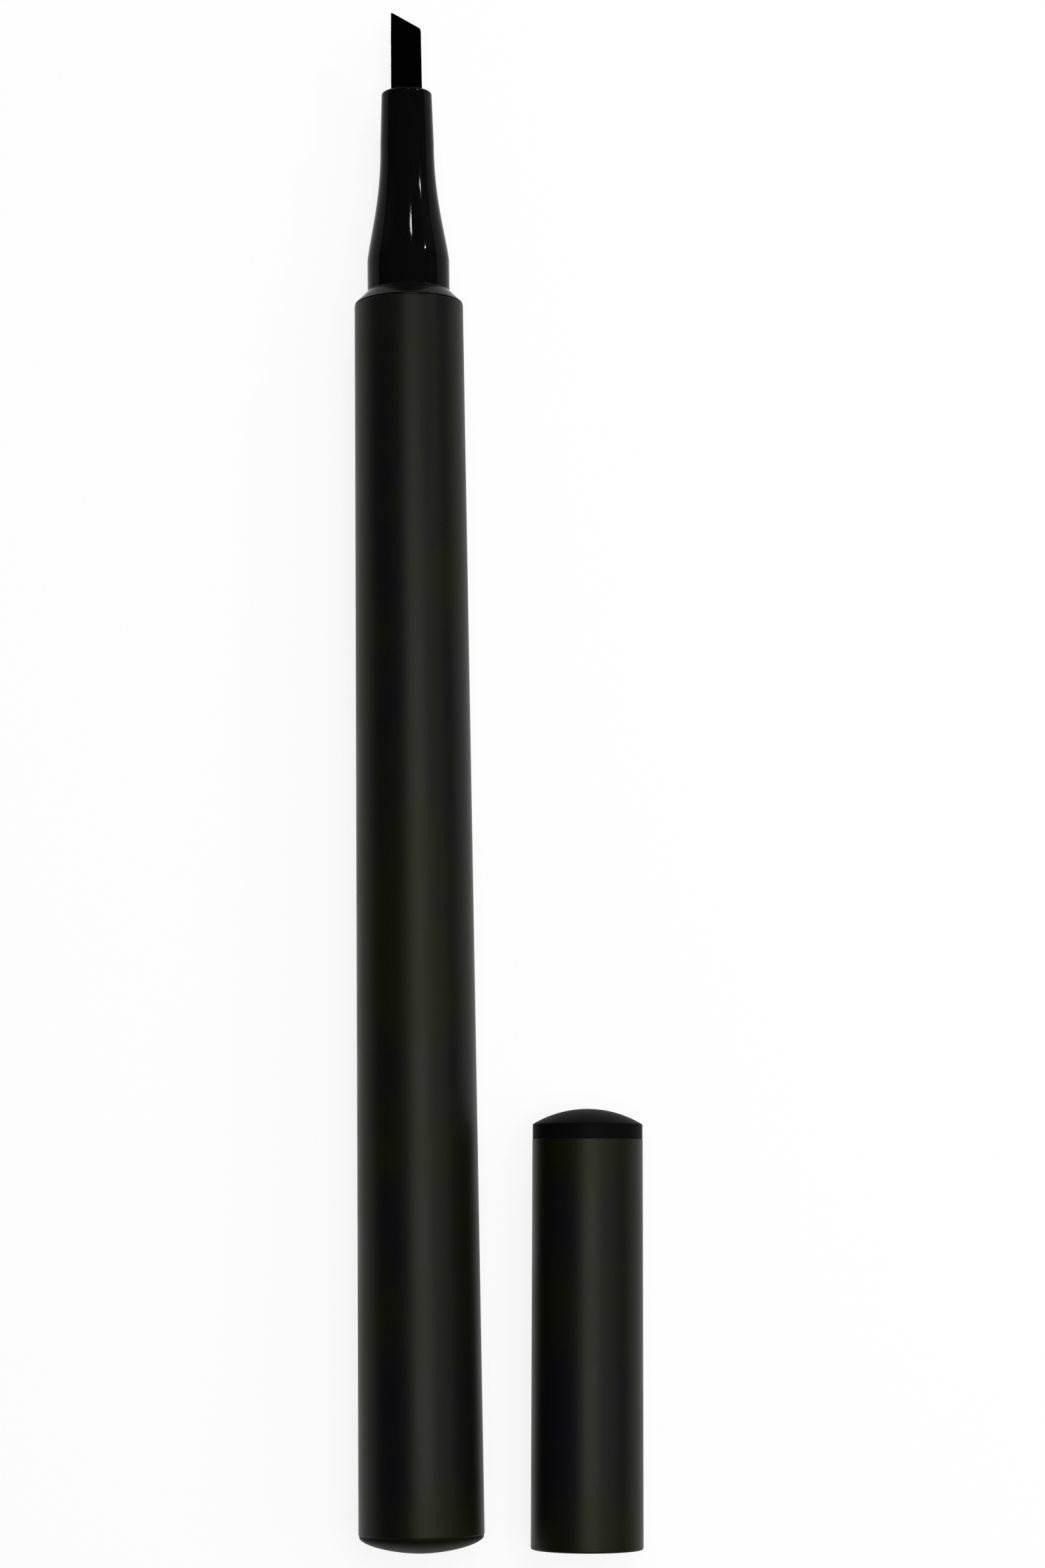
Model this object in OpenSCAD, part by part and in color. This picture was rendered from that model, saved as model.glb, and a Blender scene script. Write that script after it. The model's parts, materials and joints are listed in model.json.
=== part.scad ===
// Felt-tip liquid eyeliner pen with a wide slanted nib, lying on a flat surface beside its cap.
// Every piece is drawn upright about its own axis, and then laid down along +Y.
// On the pen, heights are counted from the tail. On the cap, they are counted from the mouth.

/* [Barrel] */
// Outer diameter of the barrel at the tail
barrel_tail_d = 10.0; // [9.6:0.05:12]
// Outer diameter of the barrel at the shoulder
barrel_front_d = 8.88; // [8.6:0.02:9.6]
// Length of the barrel between its two end faces
barrel_len = 99.3; // [90:0.1:115]
// Wall of the barrel at the shoulder
barrel_wall = 0.84; // [0.7:0.02:1]
// Bevel on the outer edge of both ends of the barrel
barrel_edge = 0.06; // [0.03:0.01:0.2]
// Length of the front bore that holds the front section and the ink feed
feed_bore_len = 39.0; // [36:0.1:45]
// Wall of the barrel round the ink tank, where the barrel is thinnest
tank_wall = 0.81; // [0.7:0.01:1]
// Growth of the radius from the ink tank to the tail bore
tail_step = 0.3; // [0.15:0.01:0.4]

/* [Tail plug] */
// Height of the domed end of the tail plug
tail_dome_h = 1.45; // [0.8:0.05:3]
// Height of the straight edge under the dome
tail_edge_h = 0.15; // [0.1:0.01:0.4]
// Length of the skirt inside the barrel
tail_skirt_len = 6.5; // [5:0.1:8]
// Wall of the skirt
tail_skirt_wall = 0.7; // [0.5:0.05:1]
// Thickness of the domed end
tail_cap_wall = 1.0; // [0.6:0.05:1.4]

/* [Front section] */
// Height of the bevelled shoulder
shoulder_h = 1.15; // [0.6:0.05:1.6]
// Height of the straight rim below the bevel
shoulder_edge_h = 0.12; // [0.05:0.01:0.3]
// Step of the shoulder rim inside the barrel's outer surface
shoulder_inset = 0.03; // [0.01:0.01:0.1]
// Diameter of the collar that the cap goes over
collar_d = 6.74; // [6.5:0.02:6.9]
// Length of the collar
collar_len = 2.05; // [1.5:0.05:2.4]
// Length of the curved flare between the collar and the nose
flare_len = 9.2; // [8:0.1:10]
// Diameter of the nose where the flare ends
nose_d = 4.42; // [4.3:0.02:4.5]
// Diameter of the nose at its tip
nose_tip_d = 4.14; // [4:0.02:4.3]
// Length of the nose
nose_len = 5.5; // [5:0.1:6.5]
// Radius of the edge round the tip of the nose
nose_edge = 0.2; // [0.1:0.02:0.3]
// Thickness of the end wall that guides the nib
nose_wall = 0.8; // [0.5:0.05:1.2]
// Radius of the two air notches beside the nib
air_notch_r = 0.25; // [0.15:0.01:0.35]
// Length of the spigot inside the barrel
spigot_len = 10.0; // [9:0.1:12]
// Wall of the spigot
spigot_wall = 0.6; // [0.5:0.01:0.7]
// Depth of the socket for the ink feed
socket_depth = 9.0; // [8:0.1:9.5]

/* [Nib and its holder] */
// Width of the nib at the nose
nib_w = 2.56; // [2.3:0.02:2.66]
// Width of the nib at its slanted edge
nib_edge_w = 2.46; // [2:0.02:2.5]
// Thickness of the nib at the nose
nib_t = 1.3; // [1:0.02:1.4]
// Thickness of the nib at its slanted edge
nib_edge_t = 0.9; // [0.6:0.02:1]
// Length of the nib outside the nose, at the long corner
nib_reach = 6.8; // [5:0.1:7.5]
// Slant of the edge in degrees
nib_slant = 30.5; // [10:0.5:45]
// Radius along the four long edges of the nib
nib_round = 0.22; // [0.1:0.02:0.4]
// Outer diameter of the holder that grips the nib and the wick
holder_d = 3.9; // [3.8:0.02:4]
// Thickness of the holder's flange
holder_flange_h = 0.8; // [0.5:0.05:1]
// Length of the holder in front of its flange
holder_len = 8.8; // [8:0.1:9]
// Depth of the pocket that takes the nib
nib_pocket = 4.0; // [3:0.1:5]

/* [Ink feed] */
// Radius of the feed's core
feed_core_r = 1.55; // [1.4:0.05:1.8]
// Thickness of the feed's end discs
feed_disc_h = 1.6; // [1:0.05:2]
// Gap between the rear fins and the barrel
fin_gap = 0.12; // [0.1:0.01:0.2]
// Thickness of one rear fin
fin_t = 0.35; // [0.3:0.01:0.4]
// Distance from one rear fin to the next
fin_pitch = 0.8; // [0.7:0.02:1]
// Thickness of one fine fin
fine_fin_t = 0.25; // [0.2:0.01:0.3]
// Distance from one fine fin to the next
fine_fin_pitch = 0.6; // [0.5:0.02:0.8]
// Gap between the fine fins and the socket
fine_fin_gap = 0.16; // [0.12:0.01:0.25]
// Length of the plain head in front of the fine fins
feed_head_len = 1.5; // [1:0.1:2]
// Width of the narrow ink slot through the fins
ink_slot_w = 0.2; // [0.15:0.01:0.3]
// Depth of the ink slot into the core
ink_slot_into_core = 0.35; // [0.2:0.01:0.4]
// Width of the air channel on the other side
air_slot_w = 1.1; // [0.8:0.05:1.4]
// Height of the air channel's floor above the core
air_slot_floor = 0.15; // [0.05:0.01:0.3]
// Diameter of the wick
wick_d = 1.8; // [1.6:0.02:1.9]
// Set-back of the wick's end inside the partition
wick_setback = 0.2; // [0.1:0.02:0.4]
// Length of the partition plug
partition_len = 3.0; // [2.5:0.1:4]
// Thickness of the partition's web
partition_web = 1.2; // [0.8:0.05:1.6]
// Wall of the partition's skirt
partition_wall = 0.6; // [0.45:0.05:0.8]
// Wall of the partition's boss round the wick
partition_boss_wall = 0.5; // [0.4:0.05:0.7]
// Set-back of the boss behind the partition's open end
partition_boss_setback = 0.6; // [0.4:0.05:1]
// Diameter of the mixing ball
ball_d = 3.0; // [2:0.1:3.4]

/* [Cap] */
// Length of the cap from its mouth to the top of its dome
cap_len = 34.8; // [34:0.1:40]
// Outer diameter at the mouth
cap_mouth_d = 8.96; // [8.9:0.02:9.4]
// Outer diameter at the closed end
cap_top_d = 8.84; // [8.7:0.02:9]
// Height of the dome on the closed end
cap_dome_h = 1.25; // [0.6:0.05:2]
// Height of the end plug's rim below its dome
cap_rim_h = 1.18; // [0.6:0.02:2]
// Step of the end plug's rim inside the shell's outer surface
cap_rim_inset = 0.02; // [0.01:0.01:0.06]
// Bevel on the outer edge of the mouth
cap_mouth_edge = 0.12; // [0.05:0.01:0.2]
// Width of the bevel inside the mouth that seats on the shoulder
cap_seat_w = 0.35; // [0.2:0.01:0.5]
// Length of the narrow bore behind the mouth
cap_guide_len = 8.55; // [7.5:0.05:9.5]
// Growth of the radius behind the narrow bore
cap_step = 0.22; // [0.2:0.01:0.3]
// Number of air grooves along the narrow bore
air_grooves = 4; // [2:1:5]
// Width of one air groove
air_groove_w = 0.7; // [0.4:0.02:0.8]
// Depth of one air groove
air_groove_depth = 0.18; // [0.1:0.01:0.19]
// Share of the spring's room that the end plug's skirt reaches down
cap_skirt_share = 0.3; // [0.2:0.01:0.4]
// Wall of the end plug's skirt
cap_skirt_wall = 0.6; // [0.45:0.05:0.8]
// Thickness of the end plug's web
cap_web = 0.8; // [0.5:0.05:1.2]
// Radius of the post inside the end plug that centres the spring
cap_post_r = 1.2; // [0.8:0.05:1.4]
// Share of the spring's room that the post takes
cap_post_share = 0.2; // [0.1:0.01:0.3]

/* [Inner cap and its spring] */
// Travel of the inner cap against its spring
inner_travel = 1.5; // [1:0.1:2]
// Radius of the bore that closes over the nose
seal_bore_r = 2.28; // [2.24:0.02:2.4]
// Depth of that bore
seal_bore_len = 7.6; // [7:0.1:8.5]
// Radius of the chamber round the nib
nib_room_r = 1.8; // [1.65:0.05:2]
// Room in front of the nib when the cap is on
nib_room_end = 1.0; // [0.6:0.1:2]
// Wall of the inner cap
inner_wall = 0.5; // [0.4:0.05:0.6]
// Thickness of the inner cap's closed end
inner_end_wall = 0.8; // [0.5:0.05:1.2]
// Thickness of the guide flange at the mouth
inner_flange_h = 1.2; // [0.8:0.1:1.6]
// Thickness of the rear guide ring
inner_ring_h = 0.8; // [0.5:0.05:1.2]
// Radius of the stub that centres the spring
inner_stub_r = 1.4; // [1:0.05:1.6]
// Share of the spring's room that the stub takes
inner_stub_share = 0.16; // [0.1:0.01:0.2]
// Mean radius of the spring
spring_r = 2.2; // [2.1:0.02:2.4]
// Diameter of the spring's wire
spring_wire_d = 0.4; // [0.3:0.02:0.44]
// Least distance from one turn of the spring to the next
spring_least_pitch = 0.98; // [0.85:0.01:1.2]

/* [Fits] */
// Gap of a pressed or snapped joint
fit_gap = 0.02; // [0.01:0.01:0.03]
// Gap of the cap's bore round the collar
cap_gap = 0.04; // [0.02:0.01:0.08]
// Gap round a piece that slides
slide_gap = 0.08; // [0.05:0.01:0.1]
// Gap between a sliding piece and its stop
stop_gap = 0.1; // [0.05:0.01:0.2]
// Gap round the nib in its slot
nib_gap = 0.04; // [0.02:0.01:0.06]
// Gap between the mixing ball and what holds it in
ball_gap = 0.3; // [0.1:0.05:0.4]
// Height of the snap beads
bead_h = 0.1; // [0.05:0.01:0.14]
// Width of the snap beads
bead_w = 0.8; // [0.5:0.05:1]
// Distance from a snap bead to the face it holds shut
bead_place = 2.0; // [1.5:0.1:2.2]

/* [Layout] */
// Distance between the pen's axis and the cap's axis at its mouth
cap_offset = 13.1; // [11:0.1:30]
// Distance of the cap's mouth from the line of the pen's tail end
cap_start = 0.1; // [0.1:0.1:20]
// Turn of the cap on the surface, in degrees
cap_yaw = 0.93; // [0:0.01:5]

/* [Hidden] */
$fn = 96;
// One overrun serves every cut, and one overlap every bead root.
cut = 0.5;
bead_root = 0.2;
bead_flat_share = 0.4;
half_share = 0.5;
flare_steps = 22;
edge_steps = 4;
quarter = 90;

// Stations along the pen, from the top of the tail's dome at height 0
barrel_tail_r = barrel_tail_d / 2;
barrel_front_r = barrel_front_d / 2;
barrel_z0 = tail_dome_h;
barrel_z1 = barrel_z0 + barrel_len;
collar_r = collar_d / 2;
collar_z0 = barrel_z1 + shoulder_h;
flare_z0 = collar_z0 + collar_len;
nose_z0 = flare_z0 + flare_len;
nose_z1 = nose_z0 + nose_len;
nib_z1 = nose_z1 + nib_reach;
nose_r = nose_d / 2;
nose_tip_r = nose_tip_d / 2;
shoulder_r = barrel_front_r - shoulder_inset;
shoulder_slope = (shoulder_h - shoulder_edge_h) / (shoulder_r - collar_r);

// Radius of the barrel's outside at a height
function barrel_r(z) =
    barrel_tail_r + (barrel_front_r - barrel_tail_r) * (z - barrel_z0) / barrel_len;

// Bores of the barrel: the tank is straight, and fits where the cone round it is thinnest
tank_z1 = barrel_z1 - feed_bore_len;
tail_bore_z1 = barrel_z0 + tail_skirt_len + stop_gap;
feed_bore_r = barrel_front_r - barrel_wall;
tank_bore_r = min(barrel_r(tail_bore_z1), barrel_r(tank_z1)) - tank_wall;
tail_bore_r = tank_bore_r + tail_step;
tail_bead_z = barrel_z0 + bead_place;
spigot_bead_z = barrel_z1 - bead_place;

// Inside of the front section
spigot_r = feed_bore_r - fit_gap;
spigot_z0 = barrel_z1 - spigot_len;
socket_r = spigot_r - spigot_wall;
socket_z1 = spigot_z0 + socket_depth;
holder_r = holder_d / 2;
holder_bore_r = holder_r + fit_gap;
holder_z0 = socket_z1 - holder_flange_h;
holder_z1 = socket_z1 + holder_len;
nib_z0 = holder_z1 - nib_pocket;
nib_bore_r = norm([nib_w, nib_t]) / 2 + nib_gap;

// Ink feed, from the partition to the holder
feed_z0 = tank_z1;
feed_z1 = holder_z0;
wick_r = wick_d / 2;
wick_bore_r = wick_r + fit_gap;
partition_z0 = tank_z1 - partition_len;
wick_z0 = partition_z0 + partition_boss_setback + wick_setback;
fin_r = feed_bore_r - fin_gap;
fins_z0 = feed_z0 + feed_disc_h;
fins_z1 = spigot_z0 - fit_gap;
fine_fin_r = socket_r - fine_fin_gap;
fine_z0 = spigot_z0 + feed_disc_h;
fine_z1 = feed_z1 - feed_head_len;

// Mixing ball, resting at the low front end of the tank
ball_r = ball_d / 2;
ball_out = tank_bore_r - ball_gap - ball_r;
ball_z = partition_z0 - ball_gap - ball_r;
ball_travel = ball_z - (barrel_z0 + tail_skirt_len + ball_gap + ball_r);

// Stations along the cap, from its mouth at height 0
cap_mouth_r = cap_mouth_d / 2;
cap_top_r = cap_top_d / 2;
cap_corner_z = cap_len - cap_dome_h;
cap_shell_z1 = cap_corner_z - cap_rim_h;
cap_taper = (cap_mouth_r - cap_top_r) / cap_corner_z;
cap_guide_r = collar_r + cap_gap;
cap_bore_r = cap_guide_r + cap_step;
cap_seat_h = cap_seat_w * shoulder_slope;

// Height on the pen at which the mouth sits when the cap is on
closed_z = collar_z0 - cap_seat_h;
inner_z0 = cap_guide_len + stop_gap;
inner_depth = nib_z1 - closed_z - inner_z0 - inner_travel + nib_room_end;
inner_len = inner_depth + inner_end_wall;
inner_flange_r = cap_bore_r - slide_gap;
seal_outer_r = seal_bore_r + inner_wall;
inner_ring_z = inner_len - inner_ring_h;

// Room for the spring, and what reaches into it from both sides
spring_seat_z = inner_z0 + inner_len;
spring_top_z = cap_shell_z1 - cap_web;
spring_room = spring_top_z - spring_seat_z;
inner_stub_len = spring_room * inner_stub_share;
cap_post_len = spring_room * cap_post_share;
cap_skirt_z0 = spring_top_z - spring_room * cap_skirt_share;
cap_bead_z = (cap_skirt_z0 + cap_shell_z1) / 2;
spring_climb = spring_room - 2 * fit_gap - spring_wire_d;
spring_turns = max(1, floor(spring_climb / spring_least_pitch));

// Laying down: each piece rests along the lowest line of its taper
pen_tilt = atan((barrel_tail_r - barrel_front_r) / barrel_len);
pen_rest_h = barrel_tail_r * cos(pen_tilt) + barrel_z0 * sin(pen_tilt);
cap_tilt = atan(cap_taper);
cap_rest_h = cap_mouth_r * cos(cap_tilt);
cap_reach = max(cap_mouth_r, cap_top_r + cap_corner_z * sin(cap_yaw));
pen_x = -(cap_offset + cap_reach - barrel_tail_r) / 2;
cap_x = pen_x + cap_offset;
pen_y = -nib_z1 * cos(pen_tilt) / 2;
cap_y = pen_y + cap_start;

module on_pen() {
    translate([pen_x, pen_y, pen_rest_h])
        rotate([-quarter - pen_tilt, 0, 0])
            children();
}

module on_cap() {
    translate([cap_x, cap_y, cap_rest_h])
        rotate([0, 0, -cap_yaw])
            rotate([-quarter - cap_tilt, 0, 0])
                children();
}

// Round bar between two heights
module bar(z0, z1, r) {
    translate([0, 0, z0])
        cylinder(h = z1 - z0, r = r);
}

// Snap bead round a surface of radius r, grown by a gap where it is the groove
module ring_bead(r, z, gap) {
    w = bead_w + 2 * gap;
    top_w = w * bead_flat_share;
    rotate_extrude()
        polygon([
            [r - bead_root, z - w / 2], [r, z - w / 2],
            [r + bead_h, z - top_w / 2], [r + bead_h, z + top_w / 2],
            [r, z + w / 2], [r - bead_root, z + w / 2]
        ]);
}

// Ball whose top stands h above a circle of radius r, with that top at height 0
module dome_ball(r, h) {
    ball = (r * r + h * h) / (2 * h);
    translate([0, 0, -ball])
        sphere(r = ball);
}

// Tapered tube: the outer cone, less the tail bore, the ink tank and the front bore
module barrel() {
    color([0.1, 0.1, 0.1])
        on_pen()
            difference() {
                rotate_extrude()
                    polygon([
                        [0, barrel_z0],
                        [barrel_tail_r - barrel_edge, barrel_z0],
                        [barrel_tail_r, barrel_z0 + barrel_edge],
                        [barrel_front_r, barrel_z1 - barrel_edge],
                        [barrel_front_r - barrel_edge, barrel_z1],
                        [0, barrel_z1]
                    ]);
                bar(barrel_z0 - cut, tail_bore_z1, tail_bore_r);
                bar(barrel_z0, tank_z1, tank_bore_r);
                bar(tank_z1 - fit_gap, barrel_z1 + cut, feed_bore_r);
                ring_bead(tail_bore_r, tail_bead_z, fit_gap);
                ring_bead(feed_bore_r, spigot_bead_z, fit_gap);
            }
}

// Domed end with a hollow skirt that snaps into the tail bore
module tail_plug() {
    r = barrel_tail_r - barrel_edge;
    skirt_r = tail_bore_r - fit_gap;
    color([0.1, 0.1, 0.1])
        on_pen()
            difference() {
                union() {
                    intersection() {
                        bar(0, barrel_z0, r);
                        mirror([0, 0, 1])
                            dome_ball(r, tail_dome_h - tail_edge_h);
                    }
                    bar(tail_cap_wall, barrel_z0 + tail_skirt_len, skirt_r);
                    ring_bead(skirt_r, tail_bead_z, 0);
                }
                bar(tail_cap_wall, barrel_z0 + tail_skirt_len + cut, skirt_r - tail_skirt_wall);
            }
}

// Radius of the flare at a share of its length, falling in a half wave
function flare_r(share) =
    nose_r + (collar_r - nose_r) * (1 + cos(2 * quarter * share)) / 2;

// Shoulder, collar, flare and nose in one piece with the spigot inside the barrel
module front_section() {
    color([0.06, 0.06, 0.06])
        on_pen()
            difference() {
                union() {
                    rotate_extrude()
                        polygon(concat(
                            [[0, spigot_z0], [spigot_r, spigot_z0], [spigot_r, barrel_z1]],
                            [[shoulder_r, barrel_z1], [shoulder_r, barrel_z1 + shoulder_edge_h]],
                            [[collar_r, collar_z0]],
                            [for (i = [0:flare_steps]) let (share = i / flare_steps)
                                [flare_r(share), flare_z0 + flare_len * share]],
                            [for (i = [0:edge_steps]) let (a = quarter * i / edge_steps)
                                [nose_tip_r - nose_edge * (1 - cos(a)),
                                 nose_z1 - nose_edge * (1 - sin(a))]],
                            [[0, nose_z1]]
                        ));
                    ring_bead(spigot_r, spigot_bead_z, 0);
                }
                bar(spigot_z0 - cut, socket_z1, socket_r);
                bar(spigot_z0, holder_z1 + fit_gap, holder_bore_r);
                bar(spigot_z0, nose_z1 - nose_wall, nib_bore_r);
                nib_bar(spigot_z0, nose_z1 + cut, nib_gap);
                for (side = [-1, 1])
                    translate([0, side * (nib_t / 2 + nib_gap), 0])
                        bar(spigot_z0, nose_z1 + cut, air_notch_r);
            }
}

// Straight bar with the nib's round-edged section, grown by a gap where it is a slot
module nib_bar(z0, z1, gap) {
    w = nib_w + 2 * gap;
    t = nib_t + 2 * gap;
    translate([0, 0, z0])
        linear_extrude(height = z1 - z0)
            union() {
                square([w - 2 * nib_round, t], center = true);
                square([w, t - 2 * nib_round], center = true);
                for (sx = [-1, 1], sy = [-1, 1])
                    translate([sx * (w / 2 - nib_round), sy * (t / 2 - nib_round)])
                        circle(r = nib_round);
            }
}

// Felt nib: a bar thinned to a wedge outside the nose and cut off at a slant
module nib() {
    drop = nib_edge_w * tan(nib_slant);
    half_w = nib_w / 2;
    half_edge_w = nib_edge_w / 2;
    half_t = nib_t / 2;
    half_edge_t = nib_edge_t / 2;
    color([0.02, 0.02, 0.02])
        on_pen()
            intersection() {
                nib_bar(nib_z0, nib_z1, 0);
                rotate([quarter, 0, 0])
                    linear_extrude(height = 2 * nib_w, center = true)
                        polygon([
                            [-half_w, nib_z0 - cut], [half_w, nib_z0 - cut], [half_w, nose_z1],
                            [half_edge_w, nib_z1 - drop], [-half_edge_w, nib_z1], [-half_w, nose_z1]
                        ]);
                rotate([quarter, 0, quarter])
                    linear_extrude(height = 2 * nib_w, center = true)
                        polygon([
                            [-half_t, nib_z0 - cut], [half_t, nib_z0 - cut], [half_t, nose_z1],
                            [half_edge_t, nib_z1 + cut], [-half_edge_t, nib_z1 + cut], [-half_t, nose_z1]
                        ]);
            }
}

// Flanged sleeve with a slotted pocket for the nib and a bore for the wick
module nib_holder() {
    color([0.85, 0.85, 0.82])
        on_pen()
            difference() {
                union() {
                    bar(holder_z0, socket_z1, socket_r - fit_gap);
                    bar(holder_z0, holder_z1, holder_r);
                }
                bar(holder_z0 - cut, nib_z0 + cut, wick_bore_r);
                nib_bar(nib_z0, holder_z1 + cut, fit_gap);
            }
}

// Comb of thin fins from z0 to z1 about the core, as many as fit
module fins(z0, z1, r, thick, pitch) {
    count = floor((z1 - z0 - thick) / pitch);
    for (i = [1:count])
        bar(z0 + i * pitch, z0 + i * pitch + thick, r);
}

// Finned feed that evens out the flow: fins on a hollow core, an ink slot and an air channel
module ink_feed() {
    color([0.75, 0.77, 0.78])
        on_pen()
            difference() {
                union() {
                    bar(feed_z0, feed_z1, feed_core_r);
                    bar(feed_z0, fins_z0, feed_bore_r - fit_gap);
                    fins(fins_z0, fins_z1, fin_r, fin_t, fin_pitch);
                    bar(spigot_z0 + fit_gap, fine_z0, socket_r - fit_gap);
                    fins(fine_z0, fine_z1, fine_fin_r, fine_fin_t, fine_fin_pitch);
                    bar(fine_z1, feed_z1, socket_r - fit_gap);
                }
                bar(feed_z0 - cut, feed_z1 + cut, wick_bore_r);
                translate([-ink_slot_w / 2, feed_core_r - ink_slot_into_core, feed_z0 - cut])
                    cube([ink_slot_w, feed_bore_r, feed_z1 - feed_z0 + 2 * cut]);
                translate([-air_slot_w / 2, -feed_bore_r - feed_core_r - air_slot_floor, fins_z0])
                    cube([air_slot_w, feed_bore_r, feed_z1 - fins_z0 + cut]);
            }
}

// Fibre rod that leads the ink from the tank to the nib
module relay_wick() {
    color([0.2, 0.2, 0.2])
        on_pen()
            bar(wick_z0, nib_z0, wick_r);
}

// Cup-shaped plug between the tank and the feed, with a boss round the wick
module partition_plug() {
    r = tank_bore_r - fit_gap;
    color([0.85, 0.85, 0.82])
        on_pen()
            difference() {
                bar(partition_z0, tank_z1, r);
                difference() {
                    bar(partition_z0 - cut, tank_z1 - partition_web, r - partition_wall);
                    bar(partition_z0 + partition_boss_setback, tank_z1, wick_bore_r + partition_boss_wall);
                }
                bar(partition_z0 - cut, tank_z1 + cut, wick_bore_r);
            }
}

// Steel ball that stirs the ink, at the low end of the tank
module mixing_ball() {
    color([0.75, 0.75, 0.77])
        on_pen()
            translate([0, ball_out, ball_z])
                sphere(r = ball_r);
}

// Tapered shell, open at both ends, with a seat in the mouth and air grooves behind it
module cap_shell() {
    top_r = cap_mouth_r - cap_taper * cap_shell_z1;
    color([0.1, 0.1, 0.1])
        on_cap()
            difference() {
                rotate_extrude()
                    polygon([
                        [0, 0], [cap_mouth_r - cap_mouth_edge, 0],
                        [cap_mouth_r, cap_mouth_edge], [top_r, cap_shell_z1], [0, cap_shell_z1]
                    ]);
                bar(-cut, cap_shell_z1, cap_guide_r);
                bar(cap_guide_len, cap_shell_z1 + cut, cap_bore_r);
                rotate_extrude()
                    polygon([
                        [0, -cut], [cap_guide_r + cap_seat_w, -cut],
                        [cap_guide_r + cap_seat_w, 0], [cap_guide_r, cap_seat_h], [0, cap_seat_h]
                    ]);
                for (i = [0:air_grooves - 1])
                    rotate([0, 0, 4 * quarter * (i + half_share) / air_grooves])
                        translate([0, -air_groove_w / 2, -cut])
                            cube([cap_guide_r + air_groove_depth, air_groove_w, cap_guide_len + 2 * cut]);
                ring_bead(cap_bore_r, cap_bead_z, fit_gap);
            }
}

// Domed end that closes the shell, with a skirt inside it and a post in the spring
module cap_end_plug() {
    rim_r = cap_mouth_r - cap_taper * cap_shell_z1 - cap_rim_inset;
    rim_top_r = cap_mouth_r - cap_taper * cap_len - cap_rim_inset;
    skirt_r = cap_bore_r - fit_gap;
    color([0.08, 0.08, 0.08])
        on_cap()
            union() {
                intersection() {
                    translate([0, 0, cap_shell_z1])
                        cylinder(h = cap_len - cap_shell_z1, r1 = rim_r, r2 = rim_top_r);
                    translate([0, 0, cap_len])
                        dome_ball(cap_top_r, cap_dome_h);
                }
                difference() {
                    union() {
                        bar(cap_skirt_z0, cap_shell_z1, skirt_r);
                        ring_bead(skirt_r, cap_bead_z, 0);
                    }
                    bar(cap_skirt_z0 - cut, spring_top_z, skirt_r - cap_skirt_wall);
                }
                bar(spring_top_z - cap_post_len, cap_shell_z1, cap_post_r);
            }
}

// Cup that a spring presses over the nose, so that the nib stays wet
module inner_cap() {
    color([0.88, 0.88, 0.86])
        on_cap()
            translate([0, 0, inner_z0])
                difference() {
                    union() {
                        bar(0, inner_len, seal_outer_r);
                        bar(0, inner_flange_h, inner_flange_r);
                        bar(inner_ring_z, inner_len, inner_flange_r);
                        bar(inner_ring_z, inner_len + inner_stub_len, inner_stub_r);
                    }
                    bar(-cut, seal_bore_len, seal_bore_r);
                    bar(-cut, inner_depth, nib_room_r);
                }
}

// Points on the middle line of the spring's wire, a few to each turn
spring_rings = 8;
spring_sides = 6;
spring_pitch = spring_climb / spring_turns;
spring_line = [
    for (i = [0:spring_turns * spring_rings]) let (a = 4 * quarter * i / spring_rings)
        [spring_r * cos(a), spring_r * sin(a), spring_pitch * i / spring_rings]
];
// Least gap from one turn to the next, measured on those points
spring_gap = min(concat([spring_pitch], [
    for (i = [0:1:len(spring_line) - spring_rings - 2], k = [-2:2])
        norm(spring_line[i + spring_rings + min(k, 1)] - spring_line[i])
])) - spring_wire_d;

// Wire wound as one unbroken tube between the inner cap and the end plug
module cap_spring() {
    echo(least_gap_between_turns = spring_gap);
    wire_r = spring_wire_d / 2;
    z0 = spring_seat_z + fit_gap + wire_r;
    last = len(spring_line) - 1;
    points = [
        for (i = [0:last], j = [0:spring_sides - 1])
            let (
                a = 4 * quarter * i / spring_rings,
                b = 4 * quarter * j / spring_sides,
                p = spring_line[i],
                out = wire_r * cos(b)
            )
            [p[0] + out * cos(a), p[1] + out * sin(a), z0 + p[2] + wire_r * sin(b)]
    ];
    walls = [
        for (i = [0:last - 1], j = [0:spring_sides - 1])
            let (
                a = i * spring_sides + j,
                b = i * spring_sides + (j + 1) % spring_sides
            )
            each [[a, b, b + spring_sides], [a, b + spring_sides, a + spring_sides]]
    ];
    ends = [
        [for (j = [spring_sides - 1:-1:0]) j],
        [for (j = [0:spring_sides - 1]) last * spring_sides + j]
    ];
    color([0.75, 0.75, 0.77])
        on_cap()
            polyhedron(points = points, faces = concat(walls, ends), convexity = spring_turns);
}

barrel();
tail_plug();
front_section();
nib();
nib_holder();
ink_feed();
relay_wick();
partition_plug();
mixing_ball();
cap_shell();
cap_end_plug();
inner_cap();
cap_spring();
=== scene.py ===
# %% [markdown]
# # A liquid eyeliner pen and its cap
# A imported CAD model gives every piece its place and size, in metres. This lesson dresses that model:
# it sets up the camera and the light, builds the finishes from nodes, and turns smooth shells round
# the axes that the CAD gives. The pen lies along +Y, and its cap lies beside it at +X.

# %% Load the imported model
import json
import math

import bmesh
import bpy
from mathutils import Matrix, Quaternion, Vector, noise


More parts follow.
